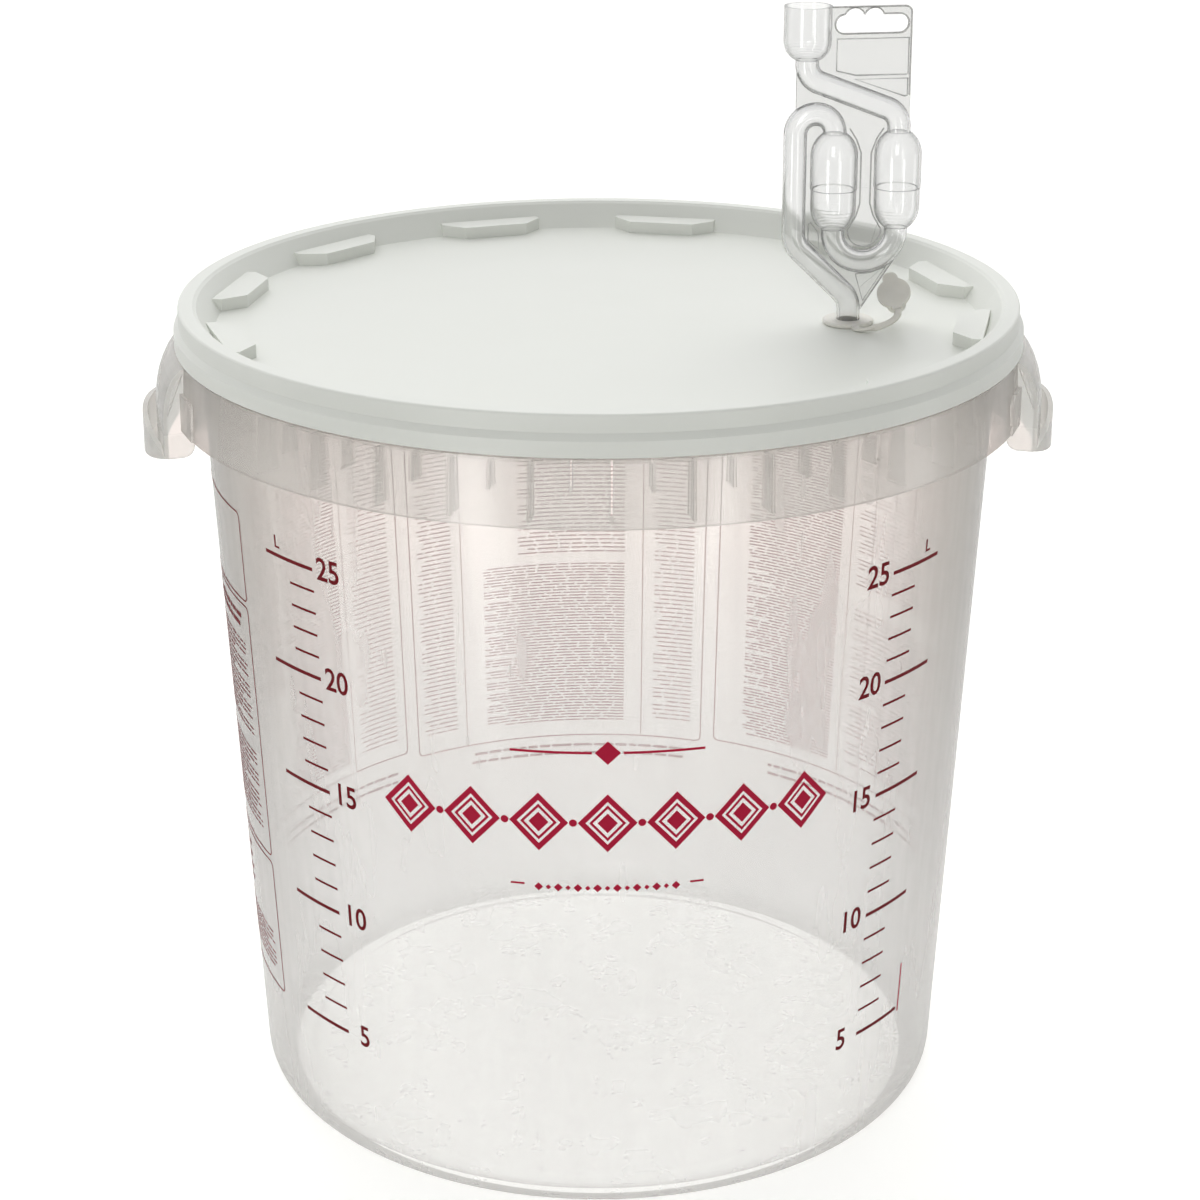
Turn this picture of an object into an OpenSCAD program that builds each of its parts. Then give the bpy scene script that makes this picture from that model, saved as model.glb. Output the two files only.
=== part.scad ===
// Thirty litre fermentation container: bucket with pocket grips, lid with a sealing ring,
// soft grommet with a tethered stopper, and a twin bubble airlock.
// Origin at the centre of the foot, +Z up, the pry tab towards -Y and the grips along X.

/* [Bucket] */
// Radius of the wall's outside, carried down to the ground
base_r = 161.2; // [150:0.2:172]
// Height of the rim's top edge
rim_z = 372.4; // [330:0.2:400]
// Lean of the wall from upright, in degrees
draft = 3.2; // [2.6:0.1:3.6]
// Thickness of the wall
wall_t = 1.6; // [1.2:0.1:2.2]
// Thickness of the floor
floor_t = 2.4; // [1.6:0.1:3.2]
// Radius of the round corner between wall and foot
foot_corner_r = 12; // [8:0.5:14]
// Width of the ring that the bucket stands on
foot_w = 9; // [6:0.5:12]
// Height of the floor's underside above the ground
floor_lift = 3; // [2:0.2:4]
// Height of the rim above the shelf
rim_h = 14.6; // [13:0.2:16]
// Step of the rim's inside out from the wall's inside
rim_step = 3.6; // [3:0.1:4.2]
// Thickness of the rim
rim_t = 2.4; // [1.8:0.1:2.8]
// Depth of the snap bead on the rim
bead_d = 1.7; // [1.2:0.1:2]
// Height of the snap bead
bead_h = 3.4; // [3:0.1:4]
// Drop of the snap bead's middle below the rim's top
bead_drop = 4.2; // [3.6:0.1:5]

/* [Collar] */
// Width of the shelf outside the wall
shelf_w = 10; // [9:0.2:11]
// Thickness of the shelf
shelf_t = 2; // [1.4:0.1:2.6]
// Height of the skirt, shelf included
skirt_h = 28.7; // [26:0.2:32]
// Thickness of the skirt
skirt_t = 1.8; // [1.4:0.1:2.4]
// Lean of the skirt from upright, in degrees
skirt_lean = 3; // [2:0.1:4]
// Thickness of the fins under the shelf
fin_t = 1.2; // [0.8:0.1:1.8]
// Height of a short fin, shelf included
short_fin_h = 14.4; // [10:0.2:20]
// Pairs of long and short fins in a full turn
fin_pairs = 36; // [18:1:36]
// Half angle of the pry tab, in degrees
tab_half_angle = 10.1; // [8:0.1:12]
// Height of the pry tab below the shelf's top
tab_h = 14.6; // [12:0.2:18]
// Width of the groove round the pry tab
tab_groove_w = 1.1; // [0.8:0.1:1.6]
// Depth of the groove round the pry tab
tab_groove_d = 0.5; // [0.3:0.05:0.8]
// Corner radius of the pry tab
tab_corner_r = 5; // [3:0.2:6]

/* [Grips] */
// Half angle that a grip spans, in degrees
grip_half_angle = 17; // [14:0.5:19]
// Reach of the grip's outer wall beyond the shelf
grip_reach = 10; // [9:0.2:12]
// Thickness of the grip's walls
grip_t = 2.2; // [1.6:0.1:2.8]
// Height at which the roof has curved down to the outer wall, below the shelf's top
roof_drop = 24; // [20:0.5:27]
// Depth of the grip's outer wall below the shelf's top, at its middle
grip_drop = 50; // [47:0.5:54]
// Rise of the outer wall's lower edge from the middle to the ends
grip_edge_rise = 9; // [6:0.5:12]
// Reach of the curled lip beyond the outer wall, at its middle
lip_reach = 7; // [5:0.2:9]
// Height of the curled lip, at its middle
lip_h = 19; // [14:0.5:22]
// Drop of the lip's top edge from the middle to the ends
lip_end_drop = 9; // [6:0.5:12]
// Depth of the side walls below the shelf's top
cheek_drop = 41.3; // [38:0.2:46]
// Corner radius at the foot of a side wall
cheek_corner_r = 5; // [3:0.5:7]
// Width of the flat panel beside a grip
side_panel_w = 19; // [14:0.5:22]
// Height of the flat panel beside a grip
side_panel_h = 17; // [12:0.5:22]

/* [Lid] */
// Thickness of the lid
lid_t = 2; // [1.6:0.1:2.6]
// Thickness of the lid's outer skirt
lid_skirt_t = 2.1; // [1.6:0.1:2.6]
// Clearance between the snap bead and the lid's skirt
lid_play = 0.5; // [0.3:0.1:0.8]
// Gap between the lid's skirt and the shelf
lid_gap = 1.1; // [0.6:0.1:1.6]
// Height of the lid's lower flange
flange_h = 6.8; // [5.5:0.1:7.6]
// Height of the bevel over the flange
flange_bevel_h = 2.8; // [2:0.1:3.4]
// Depth of the recessed panel below the ring's top
panel_drop = 12; // [10:0.2:14]
// Width of the stacking ring's top face
ring_w = 7.4; // [6.6:0.1:8.2]
// Slope of the recess wall across its depth
recess_slope = 9; // [7:0.2:10]
// Rounding of the stacking ring's edges
ring_round = 1.1; // [0.5:0.1:1.4]
// Number of stacking lugs
lugs = 12; // [6:1:16]
// Turn of the lugs about the axis, in degrees
lug_turn = 17.1; // [0:0.1:30]
// Height of a stacking lug above the panel
lug_h = 5.8; // [4:0.2:7.6]
// Reach of a lug inwards from the foot of the recess wall
lug_reach = 11.5; // [8:0.2:14]
// Width of a lug at the recess wall
lug_outer_w = 51; // [40:1:58]
// Width of a lug at its inner end
lug_inner_w = 32; // [24:1:38]
// Height of the gasket
gasket_t = 1.6; // [1.2:0.1:2.4]
// Gap between gasket and rim while the lid just rests
seal_gap = 0.3; // [0.2:0.05:0.5]

/* [Grommet and stopper] */
// Distance of the grommet's middle from the foot of the recess wall
grommet_inset = 60.3; // [52:0.1:72]
// Direction of the grommet, from -Y towards +X, in degrees
grommet_azimuth = 82.9; // [75:0.1:90]
// Radius of the grommet's flange
grommet_r = 11.5; // [10.5:0.1:12.5]
// Thickness of the grommet's flange
grommet_flange_t = 2; // [1.4:0.1:2.6]
// Radius of the grommet's neck in the lid
grommet_neck_r = 8; // [7.4:0.1:8.6]
// Radius of the grommet's lower collar
grommet_foot_r = 9.4; // [9:0.1:10]
// Depth of the grommet's lower collar
grommet_foot_h = 3.4; // [2.4:0.1:5]
// Clearance round the grommet's neck and the airlock's foot
turn_play = 0.06; // [0.02:0.01:0.1]
// Width of the strap
strap_w = 3; // [2.4:0.1:3.8]
// Thickness of the strap
strap_t = 1.7; // [1.2:0.1:2]
// Direction in which the strap leaves the grommet, in degrees from +X
strap_azimuth = -81; // [-95:1:-70]
// Length of the lug on the flange that carries the strap
strap_lug_l = 2.4; // [1.6:0.1:3.2]
// Distance of the stopper's middle from the grommet, along X
stopper_dx = 20.2; // [19:0.1:22]
// Distance of the stopper's middle from the grommet, along Y
stopper_dy = -2.6; // [-6:0.1:-1]
// Height of the stopper's middle above the panel
stopper_dz = 13.8; // [13.4:0.1:16]
// Lean of the stopper's axis from upright, in degrees
stopper_lean = 44; // [40:0.5:48]
// Turn of the stopper about Z, in degrees
stopper_turn = -19; // [-25:0.5:-12]
// Roll of the stopper about its own axis, in degrees
stopper_roll = 22; // [10:0.5:30]
// Radius of the stopper's cap
cap_r = 7.6; // [7:0.1:8]
// Thickness of the stopper's cap
cap_t = 1.9; // [1.5:0.1:2.4]
// Radius of the pull tab's end
pull_r = 3.5; // [3:0.1:4]
// Reach of the pull tab from the middle of the cap
pull_reach = 11; // [10:0.1:12]
// Radius of the plug under the cap
plug_r = 5.1; // [4.4:0.1:5.3]
// Length of the plug
plug_l = 10; // [8:0.1:11]
// Narrowing of the plug's tip
plug_taper = 0.7; // [0.4:0.1:1]

/* [Airlock] */
// Turn of the airlock about its foot, in degrees
airlock_turn = 6.8; // [0:0.1:15]
// Outer radius of the tube
tube_r = 5.2; // [4.8:0.05:5.5]
// Wall of the tube and of the bubbles
tube_wall = 1; // [0.7:0.05:1.3]
// Length of the foot below the panel's top
foot_l = 19.3; // [14:0.1:24]
// Narrowing of the foot's tip
foot_taper = 0.7; // [0.4:0.1:1.2]
// Height of the first bend above the panel
foot_bend_h = 11.4; // [10:0.1:12.5]
// Reach of the riser to the left of the foot
riser_x = 26.1; // [24.5:0.1:28]
// Reach of the left bubble to the left of the foot
left_bubble_x = 8.3; // [7.6:0.1:9]
// Reach of the right bubble to the right of the foot
right_bubble_x = 20.7; // [20:0.1:22]
// Reach of the cup to the left of the foot
cup_x = 21.5; // [20.5:0.1:22.5]
// Height of the U tube's lowest centre above the panel
u_h = 28.4; // [27:0.1:30]
// Height of the bubbles' lower necks above the panel
bubble_h0 = 43.8; // [43.4:0.1:45]
// Height of a bubble from neck to neck
bubble_h = 43.4; // [40:0.1:44]
// Outer radius of a bubble
bubble_r = 10.6; // [9.8:0.05:10.9]
// Height of the fill line above the lower neck
fill_h = 18.4; // [14:0.1:22]
// Step in radius at the fill line
fill_step = 0.35; // [0.2:0.05:0.5]
// Extra radius of the necks over the tube
neck_step = 0.3; // [0.2:0.05:0.5]
// Height of the top loop's centre line above the panel
loop_h = 96; // [95:0.1:98]
// Height at which the S tube starts to fall to the right bubble, above the panel
s_low_h = 95.6; // [95:0.1:97]
// Height at which the S tube leaves the cup's neck, above the panel
s_high_h = 112.2; // [110:0.1:114]
// Radius of the wide bends' centre line
bend_r = 12; // [10:0.1:13]
// Radius of the S tube's bends
s_bend_r = 9; // [7.5:0.1:9.5]
// Height of the cup's neck above the panel
cup_h0 = 120.2; // [119:0.1:122]
// Height of the cup from its neck
cup_h = 23.8; // [20:0.1:28]
// Outer radius of the cup
cup_r = 10.6; // [9.8:0.05:11]
// Depth of the cup's rounded bottom
cup_bowl_h = 8.2; // [7:0.1:10]
// Thickness of the web
web_t = 1.2; // [0.8:0.1:1.8]
// Right edge of the web, from the foot
web_right_x = 25.4; // [25:0.1:26.4]
// Corner radius of the web
web_corner_r = 3; // [2:0.1:4]
// Depth of the shallow panels in each face of the web
web_panel_d = 0.25; // [0.1:0.05:0.3]
// Height of the hanging slot
slot_h = 7.8; // [6:0.1:9]
// Length of the hanging slot
slot_l = 32.4; // [28:0.1:32.8]
// Radius of the two hook notches over the slot
notch_r = 4.4; // [4:0.1:4.8]

/* [Hidden] */
// Overrun of a cut past the face that it opens
over = 1;
// Running gap between faces of pieces that move on each other
slip = 0.1;
// Lap of a straight tube into a bend, and how much fuller the bend is
tube_lap = 0.3;
tube_swell = 0.04;
turn_fn = 120;
tube_fn = 40;
edge_fn = 24;

// Heights and radii that the pieces share
shelf_z = rim_z - rim_h;
skirt_z = shelf_z - skirt_h;
shelf_r = wall_r(shelf_z) + shelf_w;
skirt_foot_r = shelf_r + skirt_h * tan(skirt_lean);
rim_in_r = wall_r(shelf_z) - wall_t + rim_step;
rim_r = rim_in_r + rim_t;
bead_z = rim_z - bead_drop;
lid_in_r = rim_r + bead_d + lid_play;
ring_r = lid_in_r + lid_skirt_t;
flange_r = ring_r + lid_skirt_t;
ring_z = rim_z + seal_gap + gasket_t + lid_t;
panel_z = ring_z - panel_drop;
flange_z = shelf_z + lid_gap;
recess_r = ring_r - ring_w - recess_slope;
grip_r = shelf_r + grip_reach;
grommet_pitch_r = recess_r - grommet_inset;
grommet_x = grommet_pitch_r * sin(grommet_azimuth);
grommet_y = -grommet_pitch_r * cos(grommet_azimuth);
bore_r = tube_r + turn_play;

// Radius of the wall's outside at a height
function wall_r(z) = base_r + z * tan(draft);

// Points of a round edge with its centre at [x, z], from one angle to another
function arc(x, z, r, from, to, steps = 6) =
    [for (i = [0 : steps]) let (a = from + (to - from) * i / steps) [x + r * cos(a), z + r * sin(a)]];

// Points of a quarter of an ellipse, swept the same way
function oval(x, z, rx, rz, from, to, steps = 8) =
    [for (i = [0 : steps]) let (a = from + (to - from) * i / steps) [x + rx * cos(a), z + rz * sin(a)]];

// Radius of a circle whose edge falls by rise at half a chord from its top
function bow_r(half_chord, rise) = (half_chord * half_chord + rise * rise) / (2 * rise);

// Angle at which an ellipse of half width r has narrowed to neck
function neck_angle(neck, r) = acos(neck / r);

// Outline of the bucket's wall, foot, shelf and rim
function bucket_outline() =
    let (
        c = foot_corner_r,
        foot_mid = wall_r(0) - c * (1 - sin(draft)) / cos(draft),
        inner_c = c - wall_t,
        foot_in = foot_mid - foot_w,
        floor_z = floor_lift + floor_t,
        step_z = shelf_z - shelf_t,
        bead_top = bead_z + bead_h / 2,
        bead_foot = bead_z - bead_h / 2,
        edge = rim_t / 4
    )
    concat(
        [[0, floor_lift], [foot_in - floor_lift, floor_lift], [foot_in, 0]],
        arc(foot_mid, c, c, -90, -draft, 8),
        [[wall_r(step_z), step_z], [shelf_r, step_z], [shelf_r, shelf_z], [rim_r, shelf_z],
         [rim_r, bead_foot - bead_d], [rim_r + bead_d, bead_foot], [rim_r + bead_d, bead_top - bead_d],
         [rim_r, bead_top], [rim_r, rim_z - edge], [rim_r - edge, rim_z], [rim_in_r + edge, rim_z],
         [rim_in_r, rim_z - edge], [rim_in_r, shelf_z + rim_step], [wall_r(shelf_z) - wall_t, shelf_z]],
        arc(foot_mid, floor_z + inner_c, inner_c, -draft, -90, 8),
        [[0, floor_z]]
    );

// Grips are left out of the collar over this wedge, towards +X
module grip_wedge(low_z, high_z) {
    far = 2 * grip_r;
    translate([0, 0, low_z])
        linear_extrude(high_z - low_z)
            polygon([
                [0, 0],
                [far * cos(grip_half_angle), far * sin(grip_half_angle)],
                [far * cos(grip_half_angle), -far * sin(grip_half_angle)]
            ]);
}

module skirt() {
    rotate_extrude($fn = turn_fn)
        polygon([
            [shelf_r - skirt_t, shelf_z - shelf_t / 2],
            [shelf_r, shelf_z - shelf_t / 2],
            [skirt_foot_r, skirt_z],
            [skirt_foot_r - skirt_t, skirt_z]
        ]);
}

// One fin between the wall and the skirt, towards +X
module fin(h) {
    low = shelf_z - h;
    top = shelf_z - shelf_t / 2;
    translate([0, fin_t / 2, 0])
        rotate([90, 0, 0])
            linear_extrude(fin_t)
                polygon([
                    [wall_r(low) - wall_t / 2, low],
                    [skirt_foot_r - skirt_t / 2 - (low - skirt_z) * tan(skirt_lean), low],
                    [shelf_r - skirt_t / 2, top],
                    [wall_r(top) - wall_t / 2, top]
                ]);
}

module fins() {
    step = 360 / fin_pairs;
    for (i = [0 : fin_pairs - 1]) {
        long_a = i * step;
        short_a = (i + 0.5) * step;
        if (clear_of_grips(long_a))
            rotate([0, 0, long_a]) fin(skirt_h - skirt_t);
        if (clear_of_grips(short_a))
            rotate([0, 0, short_a]) fin(short_fin_h);
    }
}

// True where a fin stands outside both grips
function clear_of_grips(a) = abs(cos(a)) < cos(grip_half_angle + 2);

// Groove in the shape of a U, towards -Y
module tab_groove() {
    half = shelf_r * sin(tab_half_angle);
    ring_in = shelf_r - tab_groove_d;
    intersection() {
        translate([0, 0, shelf_z - tab_h])
            rotate([90, 0, 0])
                linear_extrude(skirt_foot_r + over)
                    difference() {
                        tab_shape(half, 0);
                        tab_shape(half, tab_groove_w);
                    }
        difference() {
            translate([0, 0, skirt_z])
                cylinder(h = skirt_h, r = skirt_foot_r + over, $fn = turn_fn);
            translate([0, 0, skirt_z])
                cylinder(h = skirt_h, r1 = ring_in + skirt_h * tan(skirt_lean), r2 = ring_in, $fn = turn_fn);
        }
    }
}

module tab_shape(half, inset) {
    r = tab_corner_r - inset;
    for (side = [-1, 1])
        translate([side * (half - inset - r), inset + r])
            circle(r, $fn = edge_fn);
    translate([-(half - inset - r), inset])
        square([2 * (half - inset - r), tab_h - inset + over]);
    translate([-(half - inset), inset + r])
        square([2 * (half - inset), tab_h - inset - r + over]);
}

// Flat panels on the collar beside a grip, towards +X
module side_panels() {
    mid_a = grip_half_angle + asin(side_panel_w / 2 / skirt_foot_r);
    half = side_panel_w / 2;
    r = side_panel_h / 3;
    outline = concat(
        [[-half, 0], [half, 0]],
        arc(half - r, side_panel_h - r, r, 0, 90, 5),
        [[-half, side_panel_h]]
    );
    for (side = [-1, 1])
        rotate([0, 0, side * mid_a])
            translate([skirt_foot_r - skirt_t, 0, skirt_z])
                rotate([90, 0, 90])
                    linear_extrude(skirt_t + skirt_t / 3)
                        polygon([for (p = outline) [side * p[0], p[1]]]);
}

module bucket() {
    color([0.85, 0.84, 0.82])
        difference() {
            union() {
                rotate_extrude($fn = turn_fn) polygon(bucket_outline());
                difference() {
                    skirt();
                    grip_wedge(skirt_z - over, shelf_z - shelf_t);
                    mirror([1, 0, 0]) grip_wedge(skirt_z - over, shelf_z - shelf_t);
                }
                fins();
                side_panels();
                mirror([1, 0, 0]) side_panels();
            }
            tab_groove();
        }
}

// Roof and outer wall of a grip, as an outline that starts at the shelf's edge
function grip_outline() =
    let (
        bend_z = shelf_z - roof_drop,
        foot = shelf_z - grip_drop - over,
        lead = grip_reach / 4,
        wide = grip_reach + lead,
        inner_wide = wide - grip_t
    )
    concat(
        [[shelf_r, shelf_z - shelf_t]],
        oval(shelf_r - lead, bend_z, wide, roof_drop, acos(lead / wide), 0),
        [[grip_r, foot], [grip_r - grip_t, foot]],
        oval(shelf_r - lead, bend_z, inner_wide, roof_drop - grip_t, 0, acos(lead / inner_wide))
    );

// Side wall of a grip, as an outline from the bucket's wall outwards
function cheek_outline() =
    let (
        low = shelf_z - cheek_drop,
        r = cheek_corner_r,
        inner = skirt_foot_r - cheek_corner_r,
        wall_in = wall_r(shelf_z) - wall_t / 2
    )
    concat(
        [[wall_in, shelf_z - shelf_t], [wall_in, skirt_z + r], [inner, skirt_z]],
        arc(inner + r, low + r, r, 180, 270, 4),
        [[grip_r - grip_t * 2 / 3, low], [grip_r - grip_t * 2 / 3, shelf_z - roof_drop],
         [shelf_r, shelf_z - shelf_t]]
    );

// Round trough that carries the lower edge of the grip, rising to both ends
module edge_trough(inset) {
    half = grip_r * sin(grip_half_angle);
    r = bow_r(half, grip_edge_rise);
    translate([0, 0, shelf_z - grip_drop + r])
        rotate([0, 90, 0])
            cylinder(h = 2 * grip_r, r = r - inset, $fn = turn_fn);
}

// Plan of the curled lip: a flatter arc than the outer wall
module lip_plan(inset) {
    half = grip_r * sin(grip_half_angle);
    chord_x = grip_r * cos(grip_half_angle);
    reach = grip_r + lip_reach - chord_x;
    r = bow_r(half, reach);
    translate([grip_r + lip_reach - r, 0, 0])
        cylinder(h = 2 * shelf_z, r = r - inset, $fn = turn_fn);
}

module lip() {
    half = grip_r * sin(grip_half_angle);
    top_r = bow_r(half, lip_end_drop);
    intersection() {
        difference() {
            intersection() {
                lip_plan(0);
                edge_trough(0);
            }
            cylinder(h = 2 * shelf_z, r = grip_r - grip_t / 2, $fn = turn_fn);
            intersection() {
                lip_plan(grip_t);
                edge_trough(grip_t);
            }
        }
        translate([0, 0, shelf_z - grip_drop + lip_h - top_r])
            rotate([0, 90, 0])
                cylinder(h = 2 * grip_r, r = top_r, $fn = turn_fn);
        grip_wedge(skirt_z - skirt_h, shelf_z - roof_drop);
    }
}

// A grip towards +X, cut back to the bucket's wall
module grip() {
    difference() {
        union() {
            intersection() {
                rotate([0, 0, -grip_half_angle])
                    rotate_extrude(angle = 2 * grip_half_angle, $fn = turn_fn)
                        polygon(grip_outline());
                union() {
                    edge_trough(0);
                    translate([0, -grip_r, shelf_z - roof_drop])
                        cube([2 * grip_r, 2 * grip_r, roof_drop + over]);
                }
            }
            for (a = [-grip_half_angle, grip_half_angle - asin(grip_t / grip_r)])
                rotate([0, 0, a])
                    rotate_extrude(angle = asin(grip_t / grip_r), $fn = turn_fn)
                        polygon(cheek_outline());
            lip();
        }
        cylinder(h = shelf_z, r1 = wall_r(0), r2 = wall_r(shelf_z), $fn = turn_fn);
    }
}

module right_grip() {
    color([0.86, 0.85, 0.83])
        grip();
}

module left_grip() {
    color([0.86, 0.85, 0.83])
        mirror([1, 0, 0]) grip();
}

function lid_outline() =
    let (
        lean = recess_slope / panel_drop,
        side = lid_t * 1.15,
        ceiling = ring_z - lid_t,
        r = ring_round,
        ring_in = ring_r - ring_w,
        bevel_z = flange_z + flange_h
    )
    concat(
        [[0, panel_z], [recess_r, panel_z], [ring_in - r * lean, ring_z - r]],
        arc(ring_in + r, ring_z - r, r, 145, 90, 4),
        arc(ring_r - r, ring_z - r, r, 90, 0, 4),
        [[ring_r, bevel_z + flange_bevel_h], [flange_r, bevel_z], [flange_r, flange_z],
         [flange_r - lid_skirt_t, flange_z], [flange_r - lid_skirt_t, bevel_z - lid_skirt_t],
         [lid_in_r, bevel_z], [lid_in_r, ceiling], [ring_in - lid_t * lean + side, ceiling],
         [recess_r - lid_t * lean + side, panel_z - lid_t], [0, panel_z - lid_t]]
    );

// One stacking lug, towards +X
module lug() {
    outer = recess_r + recess_slope / 2;
    inner = recess_r - lug_reach;
    translate([0, 0, panel_z - lid_t / 2])
        linear_extrude(lug_h + lid_t / 2)
            polygon([
                [inner, -lug_inner_w / 2],
                [inner, lug_inner_w / 2],
                [recess_r - lug_reach / 5, lug_outer_w / 2],
                [outer - lug_reach / 5, lug_outer_w / 2],
                [outer - lug_reach / 5, -lug_outer_w / 2],
                [recess_r - lug_reach / 5, -lug_outer_w / 2]
            ]);
}

module lid() {
    color([0.91, 0.92, 0.9])
        difference() {
            union() {
                rotate_extrude($fn = turn_fn) polygon(lid_outline());
                for (i = [0 : lugs - 1])
                    rotate([0, 0, lug_turn - 90 + i * 360 / lugs]) lug();
            }
            translate([grommet_x, grommet_y, panel_z - lid_t - over])
                cylinder(h = lid_t + 2 * over, r = grommet_neck_r + turn_play, $fn = tube_fn);
        }
}

module lid_gasket() {
    inner = rim_in_r + rim_t / 6;
    outer = lid_in_r - turn_play;
    low = rim_z + seal_gap;
    r = gasket_t / 4;
    color([0.75, 0.75, 0.73])
        rotate_extrude($fn = turn_fn)
            polygon(concat(
                [[inner, low + gasket_t], [inner, low + r], [inner + r, low]],
                [[outer - r, low], [outer, low + r], [outer, low + gasket_t]]
            ));
}

module grommet() {
    flange_z = panel_z + slip;
    neck_z = panel_z - lid_t - slip;
    r = grommet_flange_t / 4;
    lug_l = grommet_r + strap_lug_l;
    color([0.79, 0.78, 0.74])
        translate([grommet_x, grommet_y, 0])
            difference() {
                union() {
                    rotate_extrude($fn = tube_fn)
                        polygon([
                            [0, neck_z - grommet_foot_h],
                            [grommet_foot_r - grommet_foot_h / 2, neck_z - grommet_foot_h],
                            [grommet_foot_r, neck_z],
                            [grommet_neck_r, neck_z],
                            [grommet_neck_r, flange_z],
                            [grommet_r - r, flange_z],
                            [grommet_r, flange_z + r],
                            [grommet_r, flange_z + grommet_flange_t - r],
                            [grommet_r - r, flange_z + grommet_flange_t],
                            [0, flange_z + grommet_flange_t]
                        ]);
                    rotate([0, 0, strap_azimuth])
                        translate([grommet_neck_r, -strap_w / 2, flange_z])
                            cube([lug_l - grommet_neck_r, strap_w, strap_t]);
                }
                translate([0, 0, neck_z - grommet_foot_h - over])
                    cylinder(h = grommet_foot_h + lid_t + grommet_flange_t + 3 * over, r = bore_r, $fn = tube_fn);
            }
}

// Frame of the stopper: its axis along +Z, the pull tab towards +Y, the strap towards -Y
module stopper_frame() {
    translate([grommet_x + stopper_dx, grommet_y + stopper_dy, panel_z + stopper_dz])
        rotate([stopper_lean, 0, stopper_turn])
            rotate([0, 0, stopper_roll])
                children();
}

// Direction in the stopper's own plane at an angle from its pull tab, in the part's frame
function stopper_dir(x, y, z) =
    let (
        x1 = x * cos(stopper_roll) - y * sin(stopper_roll),
        y1 = x * sin(stopper_roll) + y * cos(stopper_roll),
        y2 = y1 * cos(stopper_lean) - z * sin(stopper_lean),
        z2 = y1 * sin(stopper_lean) + z * cos(stopper_lean)
    )
    [x1 * cos(stopper_turn) - y2 * sin(stopper_turn), x1 * sin(stopper_turn) + y2 * cos(stopper_turn), z2];

module stopper() {
    lug_w = strap_w + strap_t;
    color([0.77, 0.76, 0.72])
        stopper_frame() {
            cylinder(h = cap_t, r = cap_r, $fn = tube_fn);
            translate([0, pull_reach - pull_r, 0])
                cylinder(h = cap_t, r = pull_r, $fn = tube_fn);
            translate([-pull_r, 0, 0])
                cube([2 * pull_r, pull_reach - pull_r, cap_t]);
            translate([-lug_w / 2, -cap_r - strap_lug_l / 2, 0])
                cube([lug_w, cap_r, cap_t]);
            translate([0, 0, -plug_l])
                rotate_extrude($fn = tube_fn)
                    polygon([
                        [0, 0],
                        [plug_r - plug_taper * 2, 0],
                        [plug_r - plug_taper, plug_taper],
                        [plug_r, plug_l + cap_t / 2],
                        [0, plug_l + cap_t / 2]
                    ]);
        }
}

// Point on the strap's middle line, a cubic curve from the grommet's lug to the stopper's rim
function strap_from() =
    let (reach = grommet_r + strap_lug_l + slip)
    [grommet_x + reach * cos(strap_azimuth), grommet_y + reach * sin(strap_azimuth), panel_z + slip + strap_t / 2];
function strap_to() =
    let (
        rim = stopper_dir(0, -cap_r - strap_lug_l / 2, cap_t / 2)
    )
    [grommet_x + stopper_dx, grommet_y + stopper_dy, panel_z + stopper_dz] + rim;
function strap_out() = [cos(strap_azimuth), sin(strap_azimuth), 0] * (strap_lug_l + strap_w);
function strap_in() = stopper_dir(0, -1, 0) * (cap_r + strap_w / 2);
function strap_point(t) =
    let (
        a = strap_from(),
        b = a + strap_out(),
        d = strap_to(),
        c = d + strap_in(),
        s = 1 - t
    )
    s * s * s * a + 3 * s * s * t * b + 3 * s * t * t * c + t * t * t * d;
function unit(v) = v / norm(v);
function strap_side(t) =
    let (
        start = [-sin(strap_azimuth), cos(strap_azimuth), 0],
        finish = stopper_dir(1, 0, 0)
    )
    unit(start * (1 - t) + finish * t);

// Flat band with eight sides, swept along the strap's line
module stopper_strap() {
    rings = 16;
    sides = 8;
    bevel = strap_t / 4;
    w = strap_w / 2;
    h = strap_t / 2;
    section = [[w, h - bevel], [w - bevel, h], [bevel - w, h], [-w, h - bevel],
               [-w, bevel - h], [bevel - w, -h], [w - bevel, -h], [w, bevel - h]];
    points = [
        for (i = [0 : rings])
            let (
                t = i / rings,
                step = 1 / rings / 4,
                lo = max(t - step, 0),
                hi = min(t + step, 1),
                along = unit(strap_point(hi) - strap_point(lo)),
                raw = strap_side(t),
                side = unit(raw - along * (raw * along)),
                up = cross(side, along)
            )
            for (p = section) strap_point(t) + side * p[0] + up * p[1]
    ];
    faces = concat(
        [for (k = [1 : sides - 2]) [0, k, k + 1]],
        [for (i = [0 : rings - 1], k = [0 : sides - 1])
            [i * sides + k, (i + 1) * sides + k, (i + 1) * sides + (k + 1) % sides]],
        [for (i = [0 : rings - 1], k = [0 : sides - 1])
            [i * sides + k, (i + 1) * sides + (k + 1) % sides, i * sides + (k + 1) % sides]],
        [for (k = [1 : sides - 2]) [rings * sides, rings * sides + k + 1, rings * sides + k]]
    );
    color([0.79, 0.78, 0.74])
        polyhedron(points, faces);
}

// Bend of a tube in the XZ plane between two straight runs that would meet at p
module elbow(p, before, after, radius, r) {
    u = unit(before - p);
    v = unit(after - p);
    half = acos(u * v) / 2;
    centre = p + unit(u + v) * radius / sin(half);
    start = p + u * radius / tan(half) - centre;
    finish = p + v * radius / tan(half) - centre;
    a0 = atan2(start[1], start[0]);
    a1 = atan2(finish[1], finish[0]);
    sweep = (a1 - a0 + 540) % 360 - 180;
    translate([centre[0], 0, centre[1]])
        rotate([90, 0, 0])
            rotate([0, 0, sweep > 0 ? a0 : a0 + sweep])
                rotate_extrude(angle = abs(sweep), $fn = turn_fn)
                    translate([radius, 0])
                        circle(r + tube_swell, $fn = tube_fn);
}

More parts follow.
